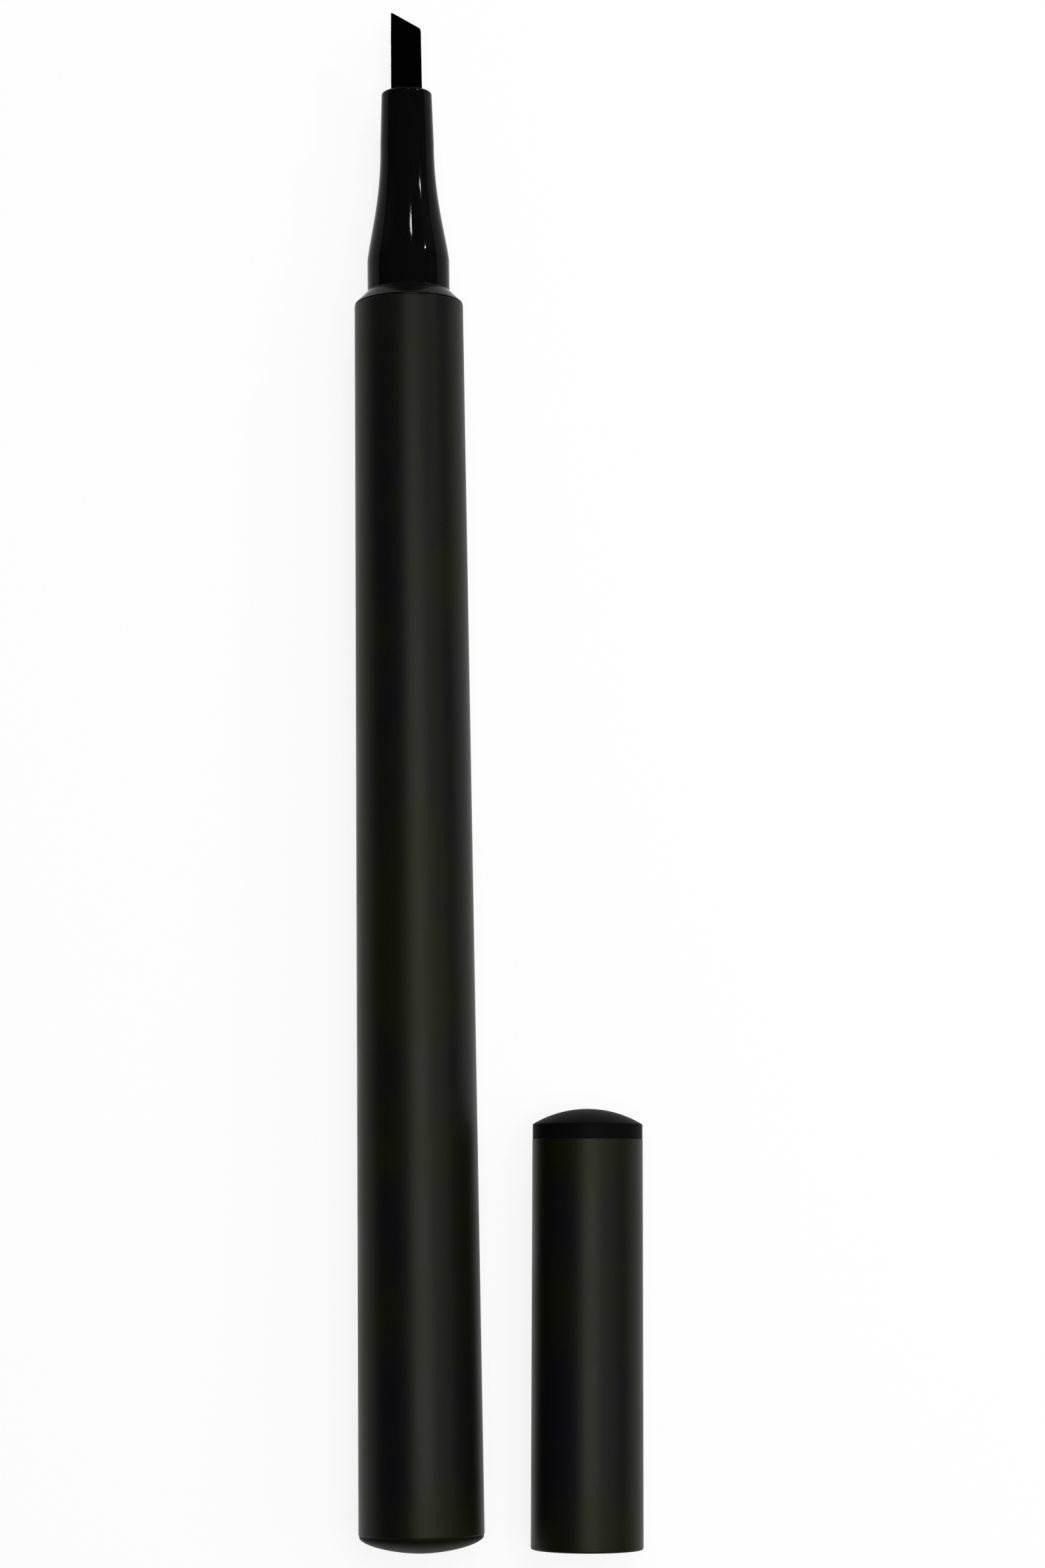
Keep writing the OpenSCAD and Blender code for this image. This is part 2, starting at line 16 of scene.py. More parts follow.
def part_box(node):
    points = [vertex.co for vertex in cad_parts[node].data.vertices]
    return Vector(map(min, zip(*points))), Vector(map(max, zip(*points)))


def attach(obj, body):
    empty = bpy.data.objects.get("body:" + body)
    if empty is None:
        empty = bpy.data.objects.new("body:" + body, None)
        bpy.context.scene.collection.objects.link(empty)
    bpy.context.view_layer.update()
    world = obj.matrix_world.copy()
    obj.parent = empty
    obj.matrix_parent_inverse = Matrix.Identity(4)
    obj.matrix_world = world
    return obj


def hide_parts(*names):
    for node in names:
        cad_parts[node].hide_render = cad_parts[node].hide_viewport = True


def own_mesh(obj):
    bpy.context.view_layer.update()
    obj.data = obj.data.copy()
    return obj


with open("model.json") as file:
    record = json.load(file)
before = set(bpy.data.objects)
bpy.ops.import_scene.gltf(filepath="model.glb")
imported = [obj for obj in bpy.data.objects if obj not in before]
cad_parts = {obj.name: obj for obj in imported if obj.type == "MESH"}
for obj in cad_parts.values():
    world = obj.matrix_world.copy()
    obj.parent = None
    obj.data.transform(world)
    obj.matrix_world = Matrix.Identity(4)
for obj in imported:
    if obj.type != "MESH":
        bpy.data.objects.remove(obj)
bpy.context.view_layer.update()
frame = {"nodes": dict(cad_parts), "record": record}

MM = 0.001

# %% [markdown]
# ## Two axes
# The pen and the cap are round, so each has one axis, and every shell is drawn upright about it.
# Heights are counted from the tail on the pen, and from the mouth on the cap, in mm. These are the
# heights at which one form ends and the next starts.

# %% Heights along the pen and the cap
TAIL_Z = 1.45
FRONT_Z = TAIL_Z + 99.3
COLLAR_Z = FRONT_Z + 1.15
FLARE_Z = COLLAR_Z + 2.05
NOSE_Z = FLARE_Z + 9.2
NOSE_TIP_Z = NOSE_Z + 5.5
NIB_TIP_Z = NOSE_TIP_Z + 6.8
SEAT_Z, GUIDE_Z = 0.3466, 8.55
print("length of the pen in mm:", round(NIB_TIP_Z, 2))

# %% [markdown]
# The record's mounts lie on these axes: the collar's middle on the pen, and the middle of the bore
# on the cap. From a point and a direction comes a matrix that lays an upright piece down. Its own
# -Y side ends up on top.

# %% Where the pen and the cap lie
def lying(mount_name, station, turn):
    """Matrix that lays down a piece drawn upright. The mount's middle is at that height in mm."""
    mount = next(m for m in frame["record"]["mounts"] if m["name"] == mount_name)
    along = Vector(mount["axis"]).normalized() * turn
    across = along.cross(Vector((0, 0, 1))).normalized()
    place = Matrix((across, along.cross(across), along)).transposed().to_4x4()
    place.translation = Vector(mount["pos_m"]) - along * station * MM
    return place


PEN = lying("cap_seat", (COLLAR_Z + FLARE_Z) / 2, 1)
CAP = lying("cap_mouth", (SEAT_Z + GUIDE_Z) / 2, -1)
print("tail of the pen in mm:", [round(c / MM, 3) for c in PEN.translation])
print("mouth of the cap in mm:", [round(c / MM, 3) for c in CAP.translation])

# %% [markdown]
# ## The camera
# The picture looks almost straight down. The rims at the front of the pen show more of their
# arch than those at the tail, so the camera stands a little behind the tail and leans forward.
# Its height, lean and lens come from setting the pen's measured edges against the picture's. The
# pen is seen from so near that the start of the camera's range has to come close as well.

# %% Camera
AIM = Vector((2.264, -1.588, 4.8)) * MM
DISTANCE = 320 * MM
ELEVATION = math.radians(83.764)
ROLL = math.radians(-0.776)
LENS, SENSOR_WIDTH = 90.88, 36

camera_data = bpy.data.cameras.new("camera")
camera_data.sensor_width = SENSOR_WIDTH
camera_data.clip_start = MM
camera_data.lens = LENS
camera = bpy.data.objects.new("camera", camera_data)
bpy.context.scene.collection.objects.link(camera)
back = Vector((0, -math.cos(ELEVATION), math.sin(ELEVATION)))
camera.location = AIM + back * DISTANCE
camera.rotation_mode = "QUATERNION"
camera.rotation_quaternion = (-back).to_track_quat("-Z", "Y") @ Quaternion((0, 0, 1), ROLL)
bpy.context.scene.camera = camera
bpy.context.scene.view_settings.view_transform = "Standard"
print("camera at", [round(c, 4) for c in camera.location])

# %% [markdown]
# ## The light
# A black cylinder shows its lamps rather than its colour. Seen from above, each line along the
# barrel mirrors one direction: the middle mirrors the camera, and a line a fifth of the width to
# the right mirrors what stands 23 degrees to that side. The broad soft band right of the middle is
# therefore a large panel overhead, and its slow fall to the right is a second, dimmer panel. The
# dark band on the left is an empty side of the studio.

# %% Lamps
def panel(name, centre, aim, size, radiance):
    """A soft panel in mm, facing a point, as bright as a surface of that radiance."""
    data = bpy.data.lights.new(name, "AREA")
    data.shape = "RECTANGLE"
    data.size, data.size_y = size[0] * MM, size[1] * MM
    data.energy = radiance * math.pi * data.size * data.size_y
    lamp = bpy.data.objects.new(name, data)
    lamp.location = Vector(centre) * MM
    lamp.rotation_mode = "QUATERNION"
    lamp.rotation_quaternion = (Vector(aim) - Vector(centre)).to_track_quat("-Z", "Y")
    lamp.visible_camera = False
    bpy.context.scene.collection.objects.link(lamp)


panel("overhead panel", centre=(52, -11, 390), aim=(52, -11, 0), size=(225, 278), radiance=5.5)
panel("side panel", centre=(274, -26, 290), aim=(-6, -26, 5), size=(308, 291), radiance=1.55)

# %% [markdown]
# The glossy neck only mirrors sharp spots, and each comes from a small lamp beyond the nib: one
# nearly in line with the pen, one off to the side. The panels end before the place that the neck
# mirrors, so it stays dark between the spots.

# %% Catch lights
panel("catch lamp", centre=(52, 268, 307), aim=(-6, 45, 8), size=(34, 9), radiance=260)
panel("side catch lamp", centre=(287, 234, 220), aim=(-5, 48, 9), size=(14, 24), radiance=210)

# %% [markdown]
# The world, the floor, the finishes and the shapes are all trees of nodes. One helper adds a node
# and feeds its inputs. Three more stand for the nodes that come back most: a step of arithmetic, a
# range of values mapped to another, and a length.

# %% Helpers for node trees
def add_node(tree, kind, *values, settings=None, **named):
    """A node whose inputs are fed in order or by name, with plain values or output sockets."""
    node = tree.nodes.new(kind)
    for label, value in (settings or {}).items():
        setattr(node, label, value)
    fed = list(zip(node.inputs, values))
    fed += [(node.inputs[label.replace("_", " ")], value) for label, value in named.items()]
    for socket, value in fed:
        if isinstance(value, bpy.types.NodeSocket):
            tree.links.new(value, socket)
        else:
            socket.default_value = value
    return node


def math_node(tree, operation, *values):
    """One step of arithmetic."""
    return add_node(tree, "ShaderNodeMath", *values, settings={"operation": operation}).outputs[0]


def range_node(tree, value, low, high, to_low, to_high, smooth=False):
    """Maps a value from one range to another, and stops at both ends."""
    kind = {"interpolation_type": "SMOOTHSTEP" if smooth else "LINEAR"}
    node = add_node(tree, "ShaderNodeMapRange", value, low, high, to_low, to_high, settings=kind)
    return node.outputs["Result"]


def length_node(tree, vector):
    """The length of a vector."""
    node = add_node(tree, "ShaderNodeVectorMath", vector, settings={"operation": "LENGTH"})
    return node.outputs["Value"]

# %% [markdown]
# The world is dim, apart from a soft band low down behind the tail and beyond the nib. Seen from
# above, the barrel only mirrors what stands to its sides, so the band doesn't show there. It lights
# the ends and the cap's mouth, and shapes the pen when it is seen from low down. Only the camera
# sees the world white, like the floor.

# %% World
DIM, BAND = 0.05, 0.55
END_START, END_FULL = 0.3, 0.7
LOW_FULL, LOW_STOP = 0.25, 0.65

world = bpy.data.worlds.new("dim studio")
world.use_nodes = True
tree = world.node_tree
tree.nodes.clear()
towards = add_node(tree, "ShaderNodeTexCoord").outputs["Generated"]
parts = add_node(tree, "ShaderNodeSeparateXYZ", towards).outputs
endwise = math_node(tree, "ABSOLUTE", parts["Y"])
at_the_ends = range_node(tree, endwise, END_START, END_FULL, 0.0, 1.0, smooth=True)
low_down = range_node(tree, parts["Z"], LOW_FULL, LOW_STOP, 1.0, 0.0, smooth=True)
band = math_node(tree, "MULTIPLY", at_the_ends, low_down)
level = math_node(tree, "MULTIPLY_ADD", band, BAND, DIM)
rays = add_node(tree, "ShaderNodeLightPath").outputs
strength = range_node(tree, rays["Is Camera Ray"], 0.0, 1.0, level, 1.0)
sky = add_node(tree, "ShaderNodeBackground", Color=(1, 1, 1, 1), Strength=strength)
add_node(tree, "ShaderNodeOutputWorld", Surface=sky.outputs[0])
bpy.context.scene.world = world
print("world: from", DIM, "to", round(DIM + BAND, 2), "in the band, and white for the camera")

# %% [markdown]
# ## The floor
# The background is white without more light on the pen: for the camera, and for rays that a glossy
# or clear surface sends out, the floor mostly glows at strength 1. The rest of it is plain white
# paint that takes the shadow of the pen. Far from the pen only the glow is left, so the floor meets
# the white world without a line. It lies a hair below the pen, so that their faces don't touch.

# %% Floor
GLOW_SHARE, PAINT_WHITE = 0.85, 0.9
FLOOR_HALF, FLOOR_Z = 4.0, -0.01 * MM
SHADE_END, GLOW_START = 0.15, 0.6

floor_paint = bpy.data.materials.new("white floor")
floor_paint.use_nodes = True
tree = floor_paint.node_tree
tree.nodes.clear()
rays = add_node(tree, "ShaderNodeLightPath").outputs
seen = math_node(tree, "MAXIMUM", rays["Is Camera Ray"], rays["Is Glossy Ray"])
seen_or_clear = math_node(tree, "MAXIMUM", seen, rays["Is Transmission Ray"])
distance = length_node(tree, add_node(tree, "ShaderNodeTexCoord").outputs["Object"])
glow_here = range_node(tree, distance, SHADE_END, GLOW_START, GLOW_SHARE, 1.0)
share = math_node(tree, "MULTIPLY", seen_or_clear, glow_here)
paint = add_node(tree, "ShaderNodeBsdfDiffuse", Color=(PAINT_WHITE, PAINT_WHITE, PAINT_WHITE, 1))
glow = add_node(tree, "ShaderNodeEmission", Strength=1.0)
both = add_node(tree, "ShaderNodeMixShader", share, paint.outputs[0], glow.outputs[0])
add_node(tree, "ShaderNodeOutputMaterial", Surface=both.outputs[0])

floor_mesh = bpy.data.meshes.new("floor")
corners = [(x * FLOOR_HALF, y * FLOOR_HALF, FLOOR_Z) for x, y in ((-1, -1), (1, -1), (1, 1), (-1, 1))]
floor_mesh.from_pydata(corners, [], [(0, 1, 2, 3)])
floor_mesh.materials.append(floor_paint)
floor = bpy.data.objects.new("floor", floor_mesh)
bpy.context.scene.collection.objects.link(floor)
print("floor:", 2 * FLOOR_HALF, "m across, glow share", GLOW_SHARE)

# %% [markdown]
# ## Shared shader groups
# Four effects come back in several finishes, so each is a node group with named inputs. A group
# only gives out values that change over the surface. The shader itself stays in each material.

# %% Helpers for shader groups
def shader_group(name, inputs, outputs):
    """An empty group with a Vector and the named numbers as inputs, and the sockets these give."""
    group = bpy.data.node_groups.new(name, "ShaderNodeTree")
    group.interface.new_socket("Vector", in_out="INPUT", socket_type="NodeSocketVector")
    for label, value in inputs.items():
        socket = group.interface.new_socket(label, in_out="INPUT", socket_type="NodeSocketFloat")
        socket.default_value = value
    for label in outputs:
        group.interface.new_socket(label, in_out="OUTPUT", socket_type="NodeSocketFloat")
    print("group", name, "takes", list(inputs), "and gives", outputs)
    return group, group.nodes.new("NodeGroupInput").outputs


def noise_node(tree, vector, scale, detail=2.0, roughness=0.5):
    """Noise whose scale is a number or an output socket."""
    node = add_node(tree, "ShaderNodeTexNoise", vector, Scale=scale, Detail=detail, Roughness=roughness)
    return node.outputs["Fac"]


def stretched(tree, given):
    """The group's Vector, scaled by Across in X and Y, and by Along in Z."""
    scales = add_node(tree, "ShaderNodeCombineXYZ", given["Across"], given["Across"], given["Along"])
    kind = {"operation": "MULTIPLY"}
    scaled = add_node(tree, "ShaderNodeVectorMath", given["Vector"], scales.outputs[0], settings=kind)
    return scaled.outputs[0]

# %% [markdown]
# ### Moulded skin
# Satin plastic has a fine grain that the mould's eroded steel leaves, and fingers polish it in
# broad patches. Both change the roughness, and the grain gives the height as well. The scales are
# waves per metre, so the patches are about a centimetre wide.

# %% Group: moulded skin
PATCH_SCALE, PATCH_START, PATCH_FULL, RIPPLE = 110.0, 0.35, 0.65, 0.08
skin, given = shader_group(
    "moulded skin",
    {"Grain Scale": 7000.0, "Roughness Low": 0.35, "Roughness High": 0.45},
    ["Roughness", "Height", "Patch"],
)
grain = noise_node(skin, given["Vector"], given["Grain Scale"], detail=3.0)
patch = noise_node(skin, given["Vector"], PATCH_SCALE, detail=2.5)
patch = range_node(skin, patch, PATCH_START, PATCH_FULL, 0.0, 1.0, smooth=True)
polish = range_node(skin, patch, 0.0, 1.0, given["Roughness Low"], given["Roughness High"])
ripple = math_node(skin, "MULTIPLY_ADD", grain, RIPPLE, -RIPPLE / 2)
rough = math_node(skin, "ADD", polish, ripple)
add_node(skin, "NodeGroupOutput", Roughness=rough, Height=grain, Patch=patch)

# %% [markdown]
# ### Hairlines
# The cap goes on and off along the axis, so rubbed places carry fine lines along it. A noise that
# is squeezed across the axis and drawn out along it gives such lines.

# %% Group: hairlines
LINE_START, LINE_FULL = 0.62, 0.78
hairline, given = shader_group("hairlines", {"Across": 9000.0, "Along": 150.0, "Amount": 1.0}, ["Mask"])
lines = noise_node(hairline, stretched(hairline, given), scale=1.0, detail=1.0)
lines = range_node(hairline, lines, LINE_START, LINE_FULL, 0.0, 1.0)
add_node(hairline, "NodeGroupOutput", Mask=math_node(hairline, "MULTIPLY", lines, given["Amount"]))

# %% [markdown]
# ### Ink stain
# Plastic that touches the ink stays stained between two heights on its axis, with a ragged edge, and
# no further from the axis than the ink gets.

# %% Group: ink stain
stain_sizes = {"Clean Height": 0.0, "Stained Height": 0.01, "Raggedness": 0.002, "Reach": 0.01}
stain, given = shader_group("ink stain", stain_sizes, ["Mask"])
parts = add_node(stain, "ShaderNodeSeparateXYZ", given["Vector"]).outputs
ragged = noise_node(stain, given["Vector"], scale=700.0, detail=4.0, roughness=0.6)
ragged = math_node(stain, "SUBTRACT", ragged, 0.5)
height = math_node(stain, "MULTIPLY_ADD", ragged, given["Raggedness"], parts["Z"])
soaked = range_node(stain, height, given["Clean Height"], given["Stained Height"], 0.0, 1.0, smooth=True)
outwards = add_node(stain, "ShaderNodeCombineXYZ", parts["X"], parts["Y"]).outputs[0]
reached = math_node(stain, "LESS_THAN", length_node(stain, outwards), given["Reach"])
add_node(stain, "NodeGroupOutput", Mask=math_node(stain, "MULTIPLY", soaked, reached))

# %% [markdown]
# ### Fibres
# Felt and the wick are bundles of fibres along the axis. The same squeezed noise with shorter lines
# gives their height, and a broad one a slight change of shade.

# %% Group: fibres
fibre, given = shader_group("fibres", {"Across": 14000.0, "Along": 1800.0}, ["Height", "Shade"])
bundle = noise_node(fibre, stretched(fibre, given), scale=1.0, detail=4.0, roughness=0.65)
shade = noise_node(fibre, given["Vector"], scale=900.0, detail=3.0)
add_node(fibre, "NodeGroupOutput", Height=bundle, Shade=shade)

# %% [markdown]
# ## The finishes
# Each finish reads Object coordinates through a Mapping node that undoes the piece's place, so
# that its patterns run along the axis, with heights in metres as in the drawing. Anything that is
# the same all over is set on the shader itself.

# %% Helpers for finishes
def finish(name, place):
    """A material with one Principled BSDF and coordinates that run along the piece's axis."""
    made = bpy.data.materials.new(name)
    made.use_nodes = True
    tree = made.node_tree
    here = add_node(tree, "ShaderNodeTexCoord").outputs["Object"]
    undo = add_node(
        tree, "ShaderNodeMapping", here, settings={"vector_type": "TEXTURE"},
        Location=place.translation, Rotation=place.to_euler(),
    )
    print("finish:", name)
    return made, tree, undo.outputs["Vector"], tree.nodes["Principled BSDF"]


def use_group(tree, group, vector, **values):
    """Places a shared group in a material, with that material's own values."""
    return add_node(tree, "ShaderNodeGroup", settings={"node_tree": group}, Vector=vector, **values).outputs


def blend_colour(tree, shader, mask, first, second):
    """Two colours, mixed by a mask, into the base colour. The node has an A and a B for each type."""
    node = add_node(tree, "ShaderNodeMix", mask, settings={"data_type": "RGBA"})
    colour_a, colour_b = [socket for socket in node.inputs if socket.type == "RGBA"]
    colour_a.default_value, colour_b.default_value = (*first, 1), (*second, 1)
    result = next(socket for socket in node.outputs if socket.type == "RGBA")
    tree.links.new(result, shader.inputs["Base Color"])


def surface(tree, shader, roughness, height, depth, strength=1.0):
    """Roughness, and bump from a height whose full range stands for a depth in metres."""
    node = add_node(tree, "ShaderNodeBump", Height=height, Distance=depth, Strength=strength)
    tree.links.new(roughness, shader.inputs["Roughness"])
    tree.links.new(node.outputs["Normal"], shader.inputs["Normal"])

# %% [markdown]
# ### Satin black
# The barrel, the tail and the cap are black plastic with a soft satin skin. The colour is almost
# nothing, so the finish lives in its roughness. The patches shift between a cool and an olive
# black, and the tint gives the highlight its trace of olive. The tail is a plug from another mould,
# a little rougher and with less gloss.

# %% Satin black
BLACK = (0.0029, 0.0029, 0.0046)
OLIVE_BLACK = (0.0041, 0.0045, 0.0010)
OLIVE_TINT = (0.97, 1.0, 0.76, 1)
RUBBED_SMOOTHER = -0.05


def satin_black(name, place, low=0.38, high=0.43, gloss=0.115):
    """Black satin plastic with a roughness between low and high, and hairlines along the axis."""
    made, tree, along, shader = finish(name, place)
    shader.inputs["Specular IOR Level"].default_value = gloss
    shader.inputs["Specular Tint"].default_value = OLIVE_TINT
    parts = use_group(tree, skin, along, Grain_Scale=6500.0, Roughness_Low=low, Roughness_High=high)
    rubs = use_group(tree, hairline, along, Across=5200.0, Along=120.0, Amount=0.5)
    blend_colour(tree, shader, parts["Patch"], BLACK, OLIVE_BLACK)
    worn = math_node(tree, "MULTIPLY_ADD", rubs["Mask"], RUBBED_SMOOTHER, parts["Roughness"])
    surface(tree, shader, worn, parts["Height"], depth=0.0012 * MM, strength=0.6)
    return made


barrel_finish = satin_black("barrel satin black", PEN)
tail_finish = satin_black("tail satin black", PEN, low=0.42, high=0.5, gloss=0.03)
cap_finish = satin_black("cap satin black", CAP)

# %% [markdown]
# ### Plain black
# The front section comes from a polished mould. It mirrors its surroundings sharply, apart from
# hairlines where the cap rubs. The cap's end plug is the same black plastic from a dull mould.

# %% Plain black
RUBBED_ROUGHER = 0.12


def plain_black(name, place, gloss, low, high, black, rubbed):
    """Neutral black plastic with a roughness between low and high, greyer where the cap rubs it."""
    made, tree, along, shader = finish(name, place)
    shader.inputs["Specular IOR Level"].default_value = gloss
    parts = use_group(tree, skin, along, Grain_Scale=2500.0, Roughness_Low=low, Roughness_High=high)
    rubs = use_group(tree, hairline, along, Across=7000.0, Along=180.0, Amount=0.8)
    blend_colour(tree, shader, rubs["Mask"], (black,) * 3, (rubbed,) * 3)
    worn = math_node(tree, "MULTIPLY_ADD", rubs["Mask"], RUBBED_ROUGHER, parts["Roughness"])
    surface(tree, shader, worn, parts["Height"], depth=0.0008 * MM, strength=0.4)
    return made


front_finish = plain_black(
    "front polished black", PEN, gloss=0.045, low=0.03, high=0.06, black=0.0024, rubbed=0.004
)
cap_end_finish = plain_black(
    "cap end dull black", CAP, gloss=0.011, low=0.38, high=0.46, black=0.0028, rubbed=0.004
)

# %% [markdown]
# ### Felt and wick
# The nib and the wick are soaked with black ink. They have no gloss to speak of, only fibres.

# %% Felt and wick
FIBRE_STRETCH = 9


def soaked_fibre(name, place, dark, pale, across, depth):
    """Dull bundles of fibres, that many per metre across the axis and a ninth of it along it."""
    made, tree, along, shader = finish(name, place)
    shader.inputs["Specular IOR Level"].default_value = 0.0
    parts = use_group(tree, fibre, along, Across=across, Along=across / FIBRE_STRETCH)
    blend_colour(tree, shader, parts["Shade"], dark, pale)
    dull = range_node(tree, parts["Height"], 0.2, 0.8, 0.8, 1.0)
    surface(tree, shader, dull, parts["Height"], depth)
    return made


nib_finish = soaked_fibre(
    "nib soaked felt", PEN, dark=(0.0002,) * 3, pale=(0.0009,) * 3, across=14000.0, depth=0.02 * MM
)
wick_finish = soaked_fibre(
    "wick soaked fibre", PEN, (0.008, 0.008, 0.009), (0.03, 0.03, 0.032), across=9000.0, depth=0.03 * MM
)

# %% [markdown]
# ### Pale plastic
# The pieces that nobody sees are natural moulded plastic, stained where the ink reaches them: the
# partition and the feed towards the tank, the holder towards the nib, the inner cap in its cup.

# %% Pale plastic
def pale_plastic(name, place, colour, stained, clean_at, stained_at, low=0.25, high=0.36, reach=10.0):
    """Plastic whose stain grows from one height to another, within reach of the axis, all in mm."""
    made, tree, along, shader = finish(name, place)
    parts = use_group(tree, skin, along, Grain_Scale=3000.0, Roughness_Low=low, Roughness_High=high)
    marks = use_group(
        tree, stain, along, Clean_Height=clean_at * MM, Stained_Height=stained_at * MM,
        Raggedness=3 * MM, Reach=reach * MM,
    )
    blend_colour(tree, shader, marks["Mask"], colour, stained)
    surface(tree, shader, parts["Roughness"], parts["Height"], depth=0.002 * MM, strength=0.5)
    return made


NATURAL, GREY, WHITE = (0.72, 0.71, 0.66), (0.42, 0.44, 0.46), (0.76, 0.76, 0.73)
INK, THIN_INK = (0.012, 0.012, 0.014), (0.09, 0.09, 0.1)
holder_finish = pale_plastic(
    "holder natural plastic", PEN, NATURAL, INK, clean_at=101.5, stained_at=107.0
)
feed_finish = pale_plastic(
    "feed grey plastic", PEN, GREY, INK, clean_at=84.0, stained_at=64.0, low=0.12, high=0.2
)
partition_finish = pale_plastic(
    "partition natural plastic", PEN, NATURAL, INK, clean_at=62.5, stained_at=59.5
)
inner_cap_finish = pale_plastic(
    "inner cap natural plastic", CAP, WHITE, THIN_INK, clean_at=15.0, stained_at=18.5, reach=2.4
)

# %% [markdown]
# ### Steel
# The mixing ball is polished steel that the ink has dulled in places. The spring is drawn wire,
# which is a little rougher and has a finer grain.

# %% Steel
def steel(name, place, bright, dulled, low, high, grain_scale):
    """Steel between a bright and a dulled colour, with a roughness between low and high."""
    made, tree, along, shader = finish(name, place)
    parts = use_group(tree, skin, along, Grain_Scale=grain_scale, Roughness_Low=low, Roughness_High=high)
    shader.inputs["Metallic"].default_value = 1.0
    blend_colour(tree, shader, parts["Patch"], bright, dulled)
    surface(tree, shader, parts["Roughness"], parts["Height"], depth=0.0015 * MM, strength=0.5)
    return made


ball_finish = steel(
    "ball polished steel", PEN, bright=(0.62, 0.62, 0.63), dulled=(0.34, 0.34, 0.36),
    low=0.1, high=0.22, grain_scale=3500.0,
)
spring_finish = steel(
    "spring drawn steel", CAP, bright=(0.55, 0.55, 0.56), dulled=(0.46, 0.46, 0.47),
    low=0.22, high=0.34, grain_scale=9000.0,
)

# %% [markdown]
# ## Turned shells
# A lathe shape is one line, drawn as radius and height, swept once round the axis. In Geometry
# Nodes that is Curve to Mesh: the line is the profile, and a small circle is the path. The line is
# first moved in by the circle's radius, so that the sweep ends up exactly on the axis. Every real
# edge has a small rounding, because a sharp one catches no light. A support point just beside each
# rounding keeps its shading off the flat wall next to it.

# %% Profile lines
SUPPORT = 0.12


def rounded(corners, closed=False, steps=4):
    """Points through (radius, height) corners in mm. A third number rounds that corner."""
    line = []
    for i, corner in enumerate(corners):
        here = Vector(corner[:2])
        fillet = corner[2] if len(corner) > 2 else 0
        if not fillet or (not closed and i in (0, len(corners) - 1)):
            line.append(here)
            continue
        before = Vector(corners[i - 1][:2]) - here
        after = Vector(corners[(i + 1) % len(corners)][:2]) - here
        half = before.angle(after) / 2
        reach = fillet / math.tan(half)
        back, on = before.normalized(), after.normalized()
        centre = here + (back + on).normalized() * fillet / math.sin(half)
        start, end = here + back * reach, here + on * reach
        if before.length > reach + 3 * SUPPORT:
            line.append(start + back * SUPPORT)
        sweep = math.pi - 2 * half
        side = 1 if before.x * after.y - before.y * after.x < 0 else -1
        for k in range(steps + 1):
            spoke = (start - centre).copy()
            spoke.rotate(Matrix.Rotation(side * sweep * k / steps, 2))
            line.append(centre + spoke)
        if after.length > reach + 3 * SUPPORT:
            line.append(end + on * SUPPORT)
    return line

# %% [markdown]
# The tree has named inputs for everything that a piece may want to change. Merge by Distance
# closes the poles, and edges sharper than the given angle stay crisp.

# %% Geometry Nodes: lathe
def geometry_tree(name, *inputs):
    """An empty tree with a geometry and the named inputs, and the sockets that these give."""
    tree = bpy.data.node_groups.new(name, "GeometryNodeTree")
    for label, kind, value in (("Geometry", "Geometry", None), *inputs):
        socket = tree.interface.new_socket(label, in_out="INPUT", socket_type="NodeSocket" + kind)
        if value is not None:
            socket.default_value = value
    tree.interface.new_socket("Geometry", in_out="OUTPUT", socket_type="NodeSocketGeometry")
    return tree, tree.nodes.new("NodeGroupInput").outputs


def crisp_end(tree, given, mesh):
    """Smooth faces, crisp edges past an angle, and the two nodes that every tree here ends in."""
    bend = add_node(tree, "GeometryNodeInputMeshEdgeAngle").outputs["Unsigned Angle"]
    sharp = math_node(tree, "GREATER_THAN", bend, given["Crisp Angle"])
    whole = add_node(tree, "GeometryNodeRealizeInstances", mesh)
    smooth = add_node(tree, "GeometryNodeSetShadeSmooth", whole.outputs[0])
    crisp = add_node(
        tree, "GeometryNodeSetShadeSmooth", smooth.outputs[0], settings={"domain": "EDGE"},
        Selection=sharp, Shade_Smooth=False,
    )
    paint = add_node(tree, "GeometryNodeSetMaterial", crisp.outputs[0], Material=given["Material"])
    add_node(tree, "NodeGroupOutput", paint.outputs[0])
    print("tree", tree.name, "has", len(tree.nodes), "nodes")


lathe, given = geometry_tree(
    "lathe",
    ("Segments", "Int", 144),
    ("Guide Radius", "Float", 1 * MM),
    ("Merge Distance", "Float", 0.001 * MM),
    ("Crisp Angle", "Float", math.radians(35)),
    ("Material", "Material", None),
)
inward = add_node(lathe, "ShaderNodeCombineXYZ", math_node(lathe, "MULTIPLY", given["Guide Radius"], -1.0))
flat = add_node(
    lathe, "GeometryNodeTransform", given["Geometry"],
    Translation=inward.outputs[0], Rotation=(math.pi / 2, 0, 0),
)
profile = add_node(lathe, "GeometryNodeMeshToCurve", flat.outputs[0])
guide = add_node(
    lathe, "GeometryNodeCurvePrimitiveCircle", Resolution=given["Segments"], Radius=given["Guide Radius"]
)
upright = add_node(lathe, "GeometryNodeSetCurveNormal", guide.outputs["Curve"], settings={"mode": "Z_UP"})
sweep = add_node(lathe, "GeometryNodeCurveToMesh", upright.outputs[0], profile.outputs[0])
poles = add_node(lathe, "GeometryNodeMergeByDistance", sweep.outputs[0], Distance=given["Merge Distance"])
crisp_end(lathe, given, poles.outputs[0])

# %% [markdown]
# Slots and grooves are boxes set round the axis, and cut out in one go. The same tree cuts the four
# air grooves of the cap and the two channels of the ink feed.

